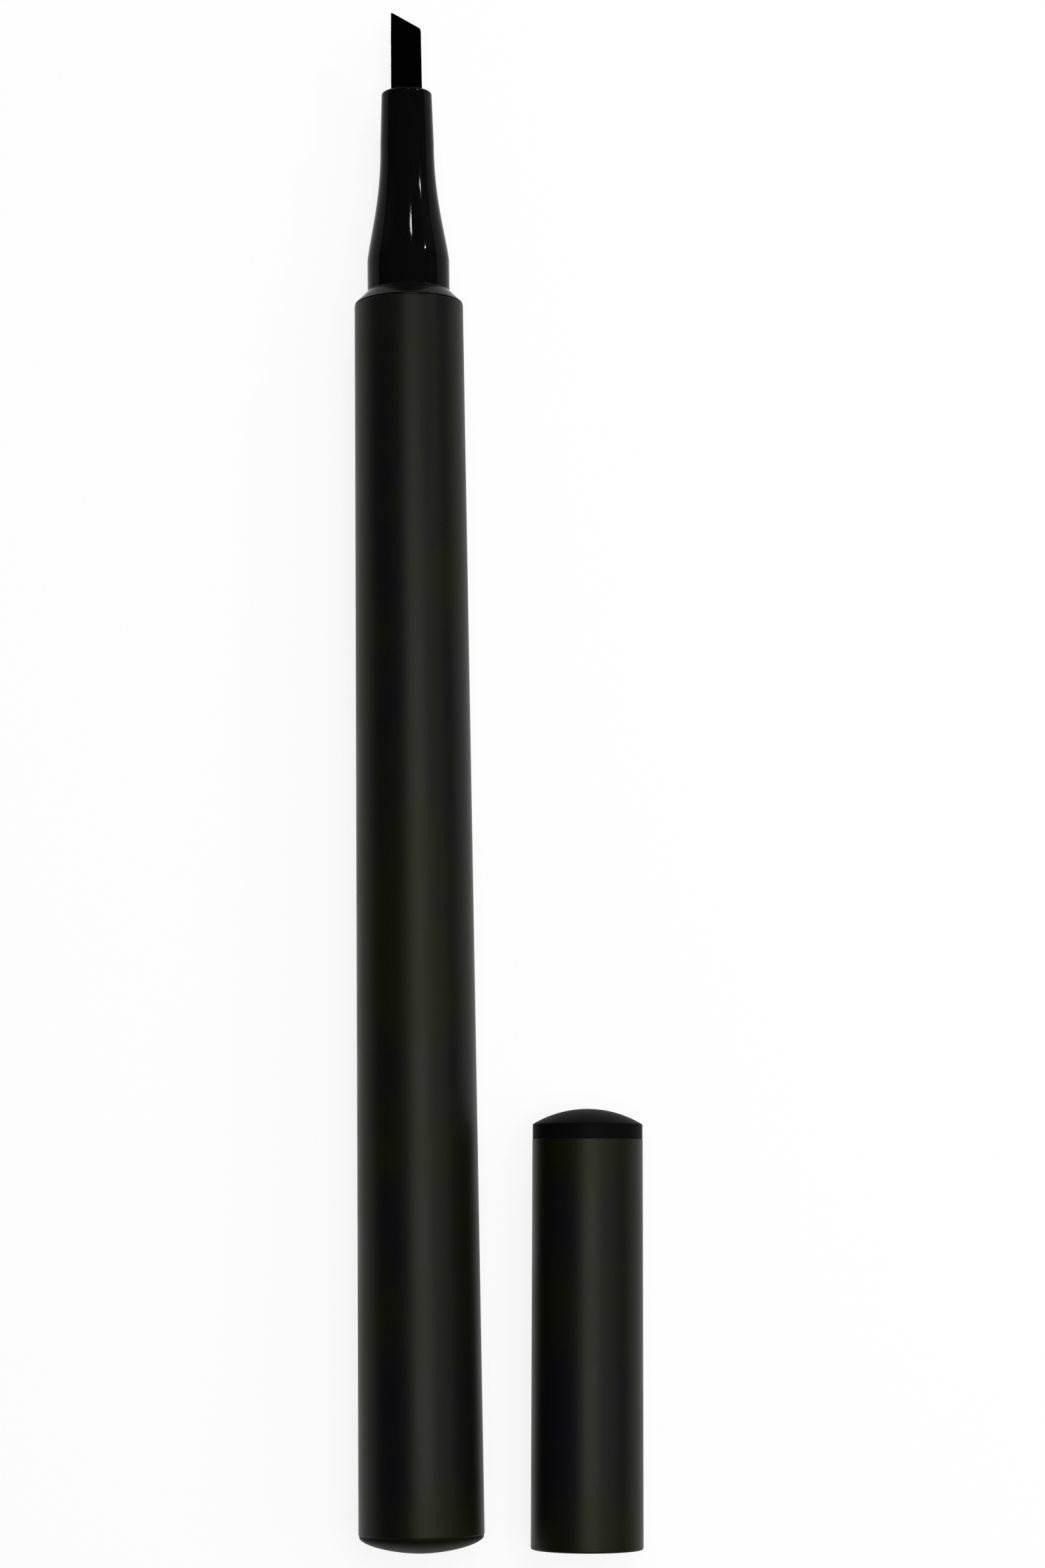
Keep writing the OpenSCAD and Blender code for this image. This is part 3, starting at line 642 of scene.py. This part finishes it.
# %% Geometry Nodes: slots round the axis
slots, given = geometry_tree(
    "slots round the axis",
    ("Count", "Int", 1),
    ("Start Angle", "Float", 0.0),
    ("Box Centre", "Vector", None),
    ("Box Size", "Vector", None),
    ("Crisp Angle", "Float", math.radians(35)),
    ("Material", "Material", None),
)
box = add_node(slots, "GeometryNodeMeshCube", Size=given["Box Size"])
placed = add_node(slots, "GeometryNodeTransform", box.outputs["Mesh"], Translation=given["Box Centre"])
spots = add_node(slots, "GeometryNodePoints", Count=given["Count"])
index = add_node(slots, "GeometryNodeInputIndex").outputs[0]
step = math_node(slots, "DIVIDE", 2 * math.pi, given["Count"])
angle = math_node(slots, "MULTIPLY_ADD", index, step, given["Start Angle"])
spin = add_node(slots, "ShaderNodeCombineXYZ", Z=angle)
turn = add_node(slots, "FunctionNodeEulerToRotation", spin.outputs[0])
ring = add_node(
    slots, "GeometryNodeInstanceOnPoints", spots.outputs[0],
    Instance=placed.outputs[0], Rotation=turn.outputs[0],
)
cutters = add_node(slots, "GeometryNodeRealizeInstances", ring.outputs[0])
cut = add_node(
    slots, "GeometryNodeMeshBoolean", settings={"operation": "DIFFERENCE", "solver": "EXACT"},
    Mesh_1=given["Geometry"], Mesh_2=cutters.outputs[0],
)
crisp_end(slots, given, cut.outputs["Mesh"])

# %% [markdown]
# A finished piece is a plain mesh at the origin, laid in its place. Its volume and its box are
# set against those of the CAD node that it stands for, so a slip in a profile shows at once.

# %% Helpers for pieces
def new_object(name, mesh):
    """An object at the origin, in the scene."""
    made = bpy.data.objects.new(name, mesh)
    bpy.context.scene.collection.objects.link(made)
    return made


def add_tree(piece, tree, **values):
    """Adds a Geometry Nodes modifier and sets its inputs by their sockets' identifiers."""
    modifier = piece.modifiers.new(tree.name, "NODES")
    modifier.node_group = tree
    named = {item.name: item.identifier for item in tree.interface.items_tree if item.in_out == "INPUT"}
    for label, value in values.items():
        modifier[named[label.replace("_", " ")]] = value


def make_plain(piece):
    """Turns what the modifiers give into the piece's own mesh."""
    graph = bpy.context.evaluated_depsgraph_get()
    mesh = bpy.data.meshes.new_from_object(
        piece.evaluated_get(graph), preserve_all_data_layers=True, depsgraph=graph
    )
    piece.modifiers.clear()
    piece.data = mesh


def turned(name, corners, material, closed=False, lift=0.0, segments=144):
    """A lathe piece from the corners of its profile in mm, all raised by lift."""
    line = [(r, z + lift) for r, z in rounded(corners, closed)]
    mesh = bpy.data.meshes.new(name)
    edges = [(i, i + 1) for i in range(len(line) - 1)] + ([(len(line) - 1, 0)] if closed else [])
    mesh.from_pydata([(r * MM, 0, z * MM) for r, z in line], edges, [])
    piece = new_object(name, mesh)
    add_tree(piece, lathe, Segments=segments, Material=material)
    make_plain(piece)
    return piece


def volume_of(mesh):
    """Volume in cubic mm, positive where the faces point outwards."""
    shape = bmesh.new()
    shape.from_mesh(mesh)
    found = shape.calc_volume(signed=True) / MM**3
    shape.free()
    return found


def settle(piece, place, body, node):
    """Lays a piece in its place, points its faces outwards, and ties it to the frame."""
    shape = bmesh.new()
    shape.from_mesh(piece.data)
    bmesh.ops.recalc_face_normals(shape, faces=shape.faces)
    open_edges = sum(1 for edge in shape.edges if len(edge.link_faces) != 2)
    shape.to_mesh(piece.data)
    shape.free()
    piece.data.transform(place)
    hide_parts(node)
    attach(piece, body)
    off = 0.0
    for axis, low, high in zip(range(3), *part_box(node)):
        along = [v.co[axis] for v in piece.data.vertices]
        off = max(off, abs(min(along) - low), abs(max(along) - high))
    ours, cad = volume_of(piece.data), volume_of(frame["nodes"][node].data)
    print(
        f"{piece.name}: {len(piece.data.polygons)} faces, {open_edges} open edges, "
        f"{ours:.2f} mm3 against {cad:.2f}, box off by {off / MM:.3f} mm"
    )

# %% [markdown]
# ## The barrel
# A tapered tube with three bores: a narrow one at the front for the front section and the feed, the
# ink tank, and a wider one for the tail plug. A ring groove near each end takes a snap bead.

# %% Barrel
TAIL_R, FRONT_R = 5.0, 4.44
FEED_BORE_R, TANK_R, TAIL_BORE_R = 3.60, 3.85, 4.15
TANK_TOP_Z, TAIL_BORE_Z = FRONT_Z - 39.0, TAIL_Z + 6.6
SNAP_FROM_END, SNAP_OUT = 2.0, 0.1
GROOVE, RIDGE = (0.42, 0.168), (0.4, 0.16)


def snap_ring(radius, height, way, halves):
    """A ring groove or its bead, met while going up (1) or down (-1), with its two half widths."""
    half, top = halves
    offsets = [(0, -half), (SNAP_OUT, -top), (SNAP_OUT, top), (0, half)]
    return [(radius + out, height + way * dz) for out, dz in offsets]


barrel_line = [
    (TAIL_BORE_R, TAIL_Z, 0.08),
    (TAIL_R, TAIL_Z, 0.08),
    (FRONT_R, FRONT_Z, 0.08),
    (FEED_BORE_R, FRONT_Z, 0.05),
    *snap_ring(FEED_BORE_R, FRONT_Z - SNAP_FROM_END, -1, GROOVE),
    (FEED_BORE_R, TANK_TOP_Z),
    (TANK_R, TANK_TOP_Z),
    (TANK_R, TAIL_BORE_Z),
    (TAIL_BORE_R, TAIL_BORE_Z),
    *snap_ring(TAIL_BORE_R, TAIL_Z + SNAP_FROM_END, -1, GROOVE),
]
barrel = turned("barrel_shell", barrel_line, barrel_finish, closed=True)
settle(barrel, PEN, "pen", "barrel")

# %% [markdown]
# ## The tail plug
# A shallow dome closes the tail. It is fuller at its rim than a slice of a ball, so the highlight
# runs round the edge: its line is an ellipse with a power a little under two.

# %% Tail plug
PLUG_R, EDGE_H, INNER_FLOOR_Z = 4.94, 0.15, 1.0
SKIRT_R, SKIRT_IN, SKIRT_TOP_Z = 4.13, 3.43, TAIL_Z + 6.5
TAIL_STEPS, TAIL_POWER = 22, 1.7

tail_swell = []
for k in range(TAIL_STEPS):
    a = math.pi / 2 * k / TAIL_STEPS
    out, down = math.sin(a) ** (2 / TAIL_POWER), math.cos(a) ** (2 / TAIL_POWER)
    tail_swell.append((PLUG_R * out, (TAIL_Z - EDGE_H) * (1 - down)))

tail_line = [
    *tail_swell,
    (PLUG_R, TAIL_Z - EDGE_H),
    (PLUG_R, TAIL_Z),
    (SKIRT_R, TAIL_Z),
    *snap_ring(SKIRT_R, TAIL_Z + SNAP_FROM_END, 1, RIDGE),
    (SKIRT_R, SKIRT_TOP_Z, 0.1),
    (SKIRT_IN, SKIRT_TOP_Z, 0.1),
    (SKIRT_IN, INNER_FLOOR_Z, 0.2),
    (0.0, INNER_FLOOR_Z),
]
tail_plug = turned("tail_dome", tail_line, tail_finish)
settle(tail_plug, PEN, "pen", "tail_plug")

# %% [markdown]
# ## The front section
# One polished moulding: the bevelled shoulder, the collar that the cap goes over, the flare that
# falls in a half wave to the nose, and the spigot inside the barrel. The wave is skewed, so that it
# is steepest in its lower half, as the highlights on the neck show. The nib comes out through a slot
# with two air notches, which a Boolean cuts through the end wall.

# %% Front section
SHOULDER_R, COLLAR_R, NOSE_R, NOSE_TIP_R = 4.41, 3.37, 2.21, 2.07
SPIGOT_R, SOCKET_R, SPIGOT_Z, SOCKET_Z = 3.58, 2.98, FRONT_Z - 10.0, FRONT_Z - 1.0
HOLDER_BORE_R, HOLDER_TOP_Z = 1.97, SOCKET_Z + 8.82
NIB_BORE_R, NIB_WALL_Z, SHOULDER_H = 1.4756, NOSE_TIP_Z - 0.8, 0.12
FLARE_LOW_Z, FLARE_HIGH_Z = FLARE_Z + 0.45, NOSE_Z + 1.1
FLARE_STEPS, FLARE_SKEW = 36, 0.67

flare = []
for k in range(FLARE_STEPS + 1):
    share = k / FLARE_STEPS
    fall = (1 - math.cos(math.pi * share**FLARE_SKEW)) / 2
    height = FLARE_LOW_Z + (FLARE_HIGH_Z - FLARE_LOW_Z) * share
    flare.append((COLLAR_R + (NOSE_R - COLLAR_R) * fall, height))
front_line = [
    (0.0, NIB_WALL_Z),
    (NIB_BORE_R, NIB_WALL_Z),
    (NIB_BORE_R, HOLDER_TOP_Z),
    (HOLDER_BORE_R, HOLDER_TOP_Z),
    (HOLDER_BORE_R, SOCKET_Z),
    (SOCKET_R, SOCKET_Z),
    (SOCKET_R, SPIGOT_Z, 0.1),
    (SPIGOT_R, SPIGOT_Z, 0.15),
    *snap_ring(SPIGOT_R, FRONT_Z - SNAP_FROM_END, 1, RIDGE),
    (SPIGOT_R, FRONT_Z),
    (SHOULDER_R, FRONT_Z, 0.03),
    (SHOULDER_R, FRONT_Z + SHOULDER_H, 0.05),
    (COLLAR_R, COLLAR_Z, 0.12),
    *flare,
    (NOSE_TIP_R, NOSE_TIP_Z, 0.2),
    (0.0, NOSE_TIP_Z),
]
front = turned("front_section_shell", front_line, front_finish)
print("corners on the front section's line:", len(front_line))

# %% [markdown]
# The slot has the nib's own section, grown by a small gap: a bar with rounded edges. Round notches
# in the middle of its long sides let air back in as the ink leaves.

# %% Slot for the nib
NIB_W, NIB_T, NIB_ROUND, NIB_GAP, NOTCH_R, NOTCH_STEPS = 2.56, 1.3, 0.22, 0.04, 0.25, 8
CUT_BELOW, CUT_ABOVE = 1.0, 0.5


def bar_section(width, thick, edge, steps=5, notch=0.0):
    """Outline of a round-edged bar in mm, with a round notch in each long side if it has a radius."""
    points = []
    for sx, sy, start in ((1, 1, 0), (-1, 1, 90), (-1, -1, 180), (1, -1, 270)):
        centre = (sx * (width / 2 - edge), sy * (thick / 2 - edge))
        for k in range(steps + 1):
            a = math.radians(start + 90 * k / steps)
            points.append((centre[0] + edge * math.cos(a), centre[1] + edge * math.sin(a)))
        if notch and start in (0, 180):
            for k in range(NOTCH_STEPS + 1):
                a = math.radians(180 * k / NOTCH_STEPS + start)
                points.append((notch * math.cos(a), sy * thick / 2 + notch * math.sin(a)))
    return points


def ring_walls(count, rings):
    """Faces that join rings of so many points each, one above the other."""
    walls = []
    for low in range(0, (rings - 1) * count, count):
        high = low + count
        walls += [(low + i, low + (i + 1) % count, high + (i + 1) % count, high + i) for i in range(count)]
    return walls


def prism(name, outline, low, high):
    """A closed bar with that outline between two heights in mm."""
    count = len(outline)
    points = [(x * MM, y * MM, z * MM) for z in (low, high) for x, y in outline]
    ends = [tuple(range(count))[::-1], tuple(range(count, 2 * count))]
    mesh = bpy.data.meshes.new(name)
    mesh.from_pydata(points, [], [*ring_walls(count, 2), *ends])
    return new_object(name, mesh)


slot_outline = bar_section(NIB_W + 2 * NIB_GAP, NIB_T + 2 * NIB_GAP, NIB_ROUND, notch=NOTCH_R)
slot_cutter = prism("slot cutter", slot_outline, NIB_WALL_Z - CUT_BELOW, NOSE_TIP_Z + CUT_ABOVE)
opening = front.modifiers.new("nib slot", "BOOLEAN")
opening.operation = "DIFFERENCE"
opening.solver = "EXACT"
opening.object = slot_cutter
make_plain(front)
bpy.data.objects.remove(slot_cutter)
settle(front, PEN, "pen", "front_section")

# %% [markdown]
# ## The nib
# A bar of felt, thinned to a wedge outside the nose and cut off at a slant. It is built ring by
# ring along its length: inside the nose, outside it, two rings that round the edge of the slant, and
# ever smaller ones that close it.

# %% Rings of the nib
NIB_Z, NIB_EDGE_W, NIB_EDGE_T = SOCKET_Z + 4.8, 2.46, 0.9
NIB_SLANT = math.tan(math.radians(30.5))
INSIDE_RINGS, OUTSIDE_RINGS, END_RINGS = 14, 44, 7
EDGE_RINGS, END_SIZE, NIB_STEP = ((0.985, 0.9965), (0.955, 0.9995)), 0.9, 0.12


def nib_point(x, y, share):
    """A point of the straight section, moved to its place at a share of the nib's free length."""
    x *= 1 + (NIB_EDGE_W / NIB_W - 1) * share
    y *= 1 + (NIB_EDGE_T / NIB_T - 1) * share
    top = NIB_TIP_Z - (x + NIB_EDGE_W / 2) * NIB_SLANT
    return Vector((x, y, NOSE_TIP_Z + (top - NOSE_TIP_Z) * share))


section = bar_section(NIB_W, NIB_T, NIB_ROUND, steps=6)
dense = []
for (ax, ay), (bx, by) in zip(section, section[1:] + section[:1]):
    parts = max(1, round(math.hypot(bx - ax, by - ay) / NIB_STEP))
    dense += [(ax + (bx - ax) * k / parts, ay + (by - ay) * k / parts) for k in range(parts)]
rings = []
for k in range(INSIDE_RINGS):
    height = NIB_Z + (NOSE_TIP_Z - NIB_Z) * k / INSIDE_RINGS
    rings.append([Vector((x, y, height)) for x, y in dense])
sizes = [(1.0, k / OUTSIDE_RINGS) for k in range(OUTSIDE_RINGS)]
sizes += [*EDGE_RINGS, *((END_SIZE * (1 - k / END_RINGS), 1.0) for k in range(END_RINGS))]
rings += [[nib_point(x * size, y * size, share) for x, y in dense] for size, share in sizes]
print("rings of the nib:", len(rings), "of", len(dense), "points")

# %% [markdown]
# Felt isn't ruler-straight. A noise with broad waves drawn out along the nib, and short ones on top,
# moves its skin by about a hundredth of a millimetre outside the nose, and leaves the middle of the
# slanted end alone.

# %% Nib
FELT_LIFT, FELT_SINK = 0.012, 0.6
BROAD_ACROSS, BROAD_ALONG, SHORT, SHORT_SHARE = 5, 1.6, 12, 0.6
CALM_MIDDLE, CALM_START = 0.2, 0.1

skin_points = []
for p in (point for ring_points in rings for point in ring_points):
    broad = noise.noise(Vector((p.x * BROAD_ACROSS, p.y * BROAD_ACROSS, p.z * BROAD_ALONG)))
    lift = broad + SHORT_SHARE * noise.noise(p * SHORT)
    away = Vector((p.x / NIB_W, p.y / NIB_T, 0))
    if away.length > CALM_MIDDLE and p.z > NOSE_TIP_Z + CALM_START:
        p = p + away.normalized() * (lift - FELT_SINK) * FELT_LIFT
    skin_points.append(p * MM)
count = len(dense)
walls = ring_walls(count, len(rings))
middle = len(skin_points)
skin_points.append(nib_point(0, 0, 1.0) * MM)
last = (len(rings) - 1) * count
walls += [(last + i, last + (i + 1) % count, middle) for i in range(count)]
nib_mesh = bpy.data.meshes.new("nib_felt")
nib_mesh.from_pydata(skin_points, [], [*walls, tuple(range(count))[::-1]])
nib_mesh.shade_smooth()
nib_mesh.materials.append(nib_finish)
nib = new_object("nib_felt", nib_mesh)
settle(nib, PEN, "pen", "nib")

# %% [markdown]
# ## The ink feed
# The comb of thin fins holds back ink when warmth or air pressure pushes it forward. It is the same
# lathe as before with a comb for a profile, and the narrow ink slot and the wider air channel
# are then cut through all the fins at once.

# %% Ink feed
CORE_R, WICK_BORE_R, DISC_R, NECK_R, DISC_H, FIT = 1.55, 0.92, 3.58, 2.96, 1.6, 0.02
FEED_Z, FEED_TOP_Z = TANK_TOP_Z, SOCKET_Z - 0.8
FINS_Z, FINS_TOP_Z, FIN_R, FIN_T, FIN_PITCH = FEED_Z + DISC_H, SPIGOT_Z - FIT, 3.48, 0.35, 0.8
FINE_Z, FINE_TOP_Z, FINE_R, FINE_T, FINE_PITCH = SPIGOT_Z + DISC_H, FEED_TOP_Z - 1.5, 2.82, 0.25, 0.6


def comb(low, high, radius, thick, pitch):
    """Profile of as many fins as fit between two heights, going up."""
    number = math.floor((high - low - thick) / pitch + 1e-9)
    line = []
    for i in range(1, number + 1):
        z = low + i * pitch
        line += [(CORE_R, z), (radius, z), (radius, z + thick), (CORE_R, z + thick)]
    return line, number


rear, rear_count = comb(FINS_Z, FINS_TOP_Z, FIN_R, FIN_T, FIN_PITCH)
fine, fine_count = comb(FINE_Z, FINE_TOP_Z, FINE_R, FINE_T, FINE_PITCH)
feed_line = [
    (WICK_BORE_R, FEED_Z), (DISC_R, FEED_Z), (DISC_R, FINS_Z), (CORE_R, FINS_Z), *rear,
    (CORE_R, SPIGOT_Z + FIT), (NECK_R, SPIGOT_Z + FIT), (NECK_R, FINE_Z), (CORE_R, FINE_Z), *fine,
    (CORE_R, FINE_TOP_Z), (NECK_R, FINE_TOP_Z), (NECK_R, FEED_TOP_Z), (WICK_BORE_R, FEED_TOP_Z),
]
feed = turned("ink_feed_comb", feed_line, feed_finish, closed=True, segments=96)
print("fins:", rear_count, "behind and", fine_count, "in the socket")

# %% [markdown]
# The ink slot is cut from one end of the feed to the other. The air channel opposite it starts
# above the disc at the tank, so that this end stays sealed but for the slot.

# %% Channels of the ink feed
SLOT_FLOOR_R, SLOT_W, SLOT_LEN = 1.2, 0.2, 39.0
AIR_FLOOR_R, AIR_W, AIR_LEN = 1.7, 1.1, 40.0
CUT_DEEP = 5.0

for angle, floor_r, width, length, middle_z in (
    (math.pi / 2, SLOT_FLOOR_R, SLOT_W, SLOT_LEN, (FEED_Z + FEED_TOP_Z) / 2),
    (-math.pi / 2, AIR_FLOOR_R, AIR_W, AIR_LEN, FINS_Z + AIR_LEN / 2),
):
    add_tree(
        feed, slots, Count=1, Start_Angle=angle, Material=feed_finish,
        Box_Centre=((floor_r + CUT_DEEP / 2) * MM, 0, middle_z * MM),
        Box_Size=(CUT_DEEP * MM, width * MM, length * MM),
    )
    make_plain(feed)
settle(feed, PEN, "pen", "ink_feed")

# %% [markdown]
# ## The cap
# A tapered tube like the barrel. Inside its mouth a bevel seats on the pen's shoulder, and four
# grooves run along the guide bore, so that air gets out when the cap goes on.

# %% Cap shell
MOUTH_R, SHELL_TOP_R, SHELL_TOP_Z, CAP_BEAD_Z = 4.48, 4.4221, 32.37, 30.864
GUIDE_R, CAP_BORE_R, SEAT_R = 3.41, 3.63, 3.76
cap_line = [
    (SEAT_R, 0.0, 0.05),
    (MOUTH_R, 0.0, 0.14),
    (SHELL_TOP_R, SHELL_TOP_Z, 0.05),
    (CAP_BORE_R, SHELL_TOP_Z, 0.05),
    *snap_ring(CAP_BORE_R, CAP_BEAD_Z, -1, GROOVE),
    (CAP_BORE_R, GUIDE_Z),
    (GUIDE_R, GUIDE_Z),
    (GUIDE_R, SEAT_Z),
]
cap_shell = turned("cap_tube", cap_line, cap_finish, closed=True)
VENTS, VENT_W, VENT_R, VENT_PAST = 4, 0.7, 3.59, 0.5
add_tree(
    cap_shell, slots, Count=VENTS, Start_Angle=math.pi / VENTS, Material=cap_finish,
    Box_Centre=(VENT_R / 2 * MM, 0, GUIDE_Z / 2 * MM),
    Box_Size=(VENT_R * MM, VENT_W * MM, (GUIDE_Z + 2 * VENT_PAST) * MM),
)
make_plain(cap_shell)
settle(cap_shell, CAP, "cap", "cap_shell")

# %% [markdown]
# ## The cap's end plug
# A dull dome with a rim of its own, so the parting line shows a little below the corner. It is a
# slice of a ball. A skirt holds it in the tube, and a short post keeps the spring in the middle.

# %% Cap end plug
END_TOP_Z, DOME_R, DOME_H, DOME_STEPS = 34.8, 4.42, 1.25, 14
CORNER_R, CORNER_Z, RIM_R = 4.3995, 33.5607, 4.402
PLUG_SKIRT_R, PLUG_SKIRT_IN, PLUG_SKIRT_Z = 3.61, 3.01, 29.358
WEB_Z, POST_R, POST_Z = 31.57, 1.2, 30.0953

ball_r = (DOME_R**2 + DOME_H**2) / (2 * DOME_H)
spread = math.asin(DOME_R / ball_r)
end_dome = []
for k in range(DOME_STEPS):
    a = spread * k / DOME_STEPS
    end_dome.append((ball_r * math.sin(a), END_TOP_Z - ball_r * (1 - math.cos(a))))

cap_end_line = [
    *end_dome,
    (CORNER_R, CORNER_Z, 0.1),
    (RIM_R, SHELL_TOP_Z, 0.04),
    (PLUG_SKIRT_R, SHELL_TOP_Z),
    *snap_ring(PLUG_SKIRT_R, CAP_BEAD_Z, -1, RIDGE),
    (PLUG_SKIRT_R, PLUG_SKIRT_Z, 0.08),
    (PLUG_SKIRT_IN, PLUG_SKIRT_Z, 0.08),
    (PLUG_SKIRT_IN, WEB_Z),
    (POST_R, WEB_Z),
    (POST_R, POST_Z, 0.15),
    (0.0, POST_Z),
]
cap_end = turned("cap_end_dome", cap_end_line, cap_end_finish)
settle(cap_end, CAP, "cap", "cap_end_plug")

# %% [markdown]
# ## The inner cap
# The pale cup that closes over the nose and keeps the nib wet. It shows inside the mouth. Its
# entry fits the nose, the chamber behind it is for the nib, a flange at each end slides in the cap,
# and a stub centres the spring. Its heights are counted from its own lower end.

# %% Inner cap
INNER_Z, CHAMBER_Z, INNER_LEN, STUB_Z = 8.65, 14.7466, 15.5466, 16.7264
CHAMBER_R, ENTRY_R, ENTRY_Z, CUP_R = 1.8, 2.28, 7.6, 2.78
FLANGE_R, FLANGE_H, STUB_R = 3.55, 1.2, 1.4
inner_line = [
    (0.0, CHAMBER_Z),
    (CHAMBER_R, CHAMBER_Z, 0.3),
    (CHAMBER_R, ENTRY_Z, 0.05),
    (ENTRY_R, ENTRY_Z, 0.05),
    (ENTRY_R, 0.0, 0.12),
    (FLANGE_R, 0.0, 0.12),
    (FLANGE_R, FLANGE_H, 0.12),
    (CUP_R, FLANGE_H, 0.1),
    (CUP_R, CHAMBER_Z, 0.1),
    (FLANGE_R, CHAMBER_Z, 0.08),
    (FLANGE_R, INNER_LEN, 0.08),
    (STUB_R, INNER_LEN, 0.1),
    (STUB_R, STUB_Z, 0.15),
    (0.0, STUB_Z),
]
inner_cap = turned("inner_cup", inner_line, inner_cap_finish, lift=INNER_Z)
settle(inner_cap, CAP, "inner_cap", "inner_cap")

# %% [markdown]
# ## The spring
# A wire wound from one line: a Spiral gives the line, and its height is then bent so that the first
# and the last turn lie close, as ground springs do. The real spring flattens as the inner cap is pushed;
# this one keeps one length.

# %% Geometry Nodes: spring
coil, given = geometry_tree(
    "coil",
    ("Turns", "Float", 7.0),
    ("Rings per Turn", "Int", 40),
    ("Coil Radius", "Float", 2.2 * MM),
    ("Wire Radius", "Float", 0.2 * MM),
    ("Wire Sides", "Int", 12),
    ("Climb", "Float", 6.9 * MM),
    ("Closed Climb", "Float", 0.5 * MM),
    ("Crisp Angle", "Float", math.radians(50)),
    ("Material", "Material", None),
)
spiral = add_node(
    coil, "GeometryNodeCurveSpiral", Resolution=given["Rings per Turn"], Rotations=given["Turns"],
    Start_Radius=given["Coil Radius"], End_Radius=given["Coil Radius"], Height=0.0,
)
along = add_node(coil, "GeometryNodeSplineParameter").outputs["Factor"]
one_turn = math_node(coil, "DIVIDE", 1.0, given["Turns"])
open_end = math_node(coil, "SUBTRACT", 1.0, one_turn)
closed_climb = math_node(coil, "MULTIPLY", given["Closed Climb"], 2.0)
open_climb = math_node(coil, "SUBTRACT", given["Climb"], closed_climb)
first = range_node(coil, along, 0.0, one_turn, 0.0, given["Closed Climb"])
free = range_node(coil, along, one_turn, open_end, 0.0, open_climb)
final = range_node(coil, along, open_end, 1.0, 0.0, given["Closed Climb"])
climb = math_node(coil, "ADD", math_node(coil, "ADD", first, free), final)
rise = add_node(coil, "ShaderNodeCombineXYZ", Z=climb)
lifted = add_node(coil, "GeometryNodeSetPosition", spiral.outputs[0], Offset=rise.outputs[0])
round_wire = add_node(
    coil, "GeometryNodeCurvePrimitiveCircle", Resolution=given["Wire Sides"], Radius=given["Wire Radius"]
)
wire = add_node(
    coil, "GeometryNodeCurveToMesh", lifted.outputs[0], round_wire.outputs["Curve"], Fill_Caps=True
)
crisp_end(coil, given, wire.outputs[0])

# %% Spring
SPRING_LOW, SPRING_HIGH, WIRE_R = 24.2166, 31.55, 0.2
spring = new_object("cap_spring_coil", bpy.data.meshes.new("cap_spring_coil"))
climb_mm = SPRING_HIGH - SPRING_LOW - 2 * WIRE_R
add_tree(spring, coil, Climb=climb_mm * MM, Wire_Radius=WIRE_R * MM, Material=spring_finish)
make_plain(spring)
spring.data.transform(Matrix.Translation((0, 0, (SPRING_LOW + WIRE_R) * MM)))
settle(spring, CAP, "cap", "cap_spring")
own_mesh(spring)

# %% [markdown]
# ## Nodes that keep their own mesh
# The holder, the wick, the partition and the ball lie out of sight, and their CAD shapes are exact.
# They only get their finishes.

# %% Finishes for the kept nodes
for node, material in (
    ("nib_holder", holder_finish),
    ("relay_wick", wick_finish),
    ("partition_plug", partition_finish),
    ("mixing_ball", ball_finish),
):
    mesh = frame["nodes"][node].data
    mesh.materials.clear()
    mesh.materials.append(material)
    print(node, "wears", material.name)
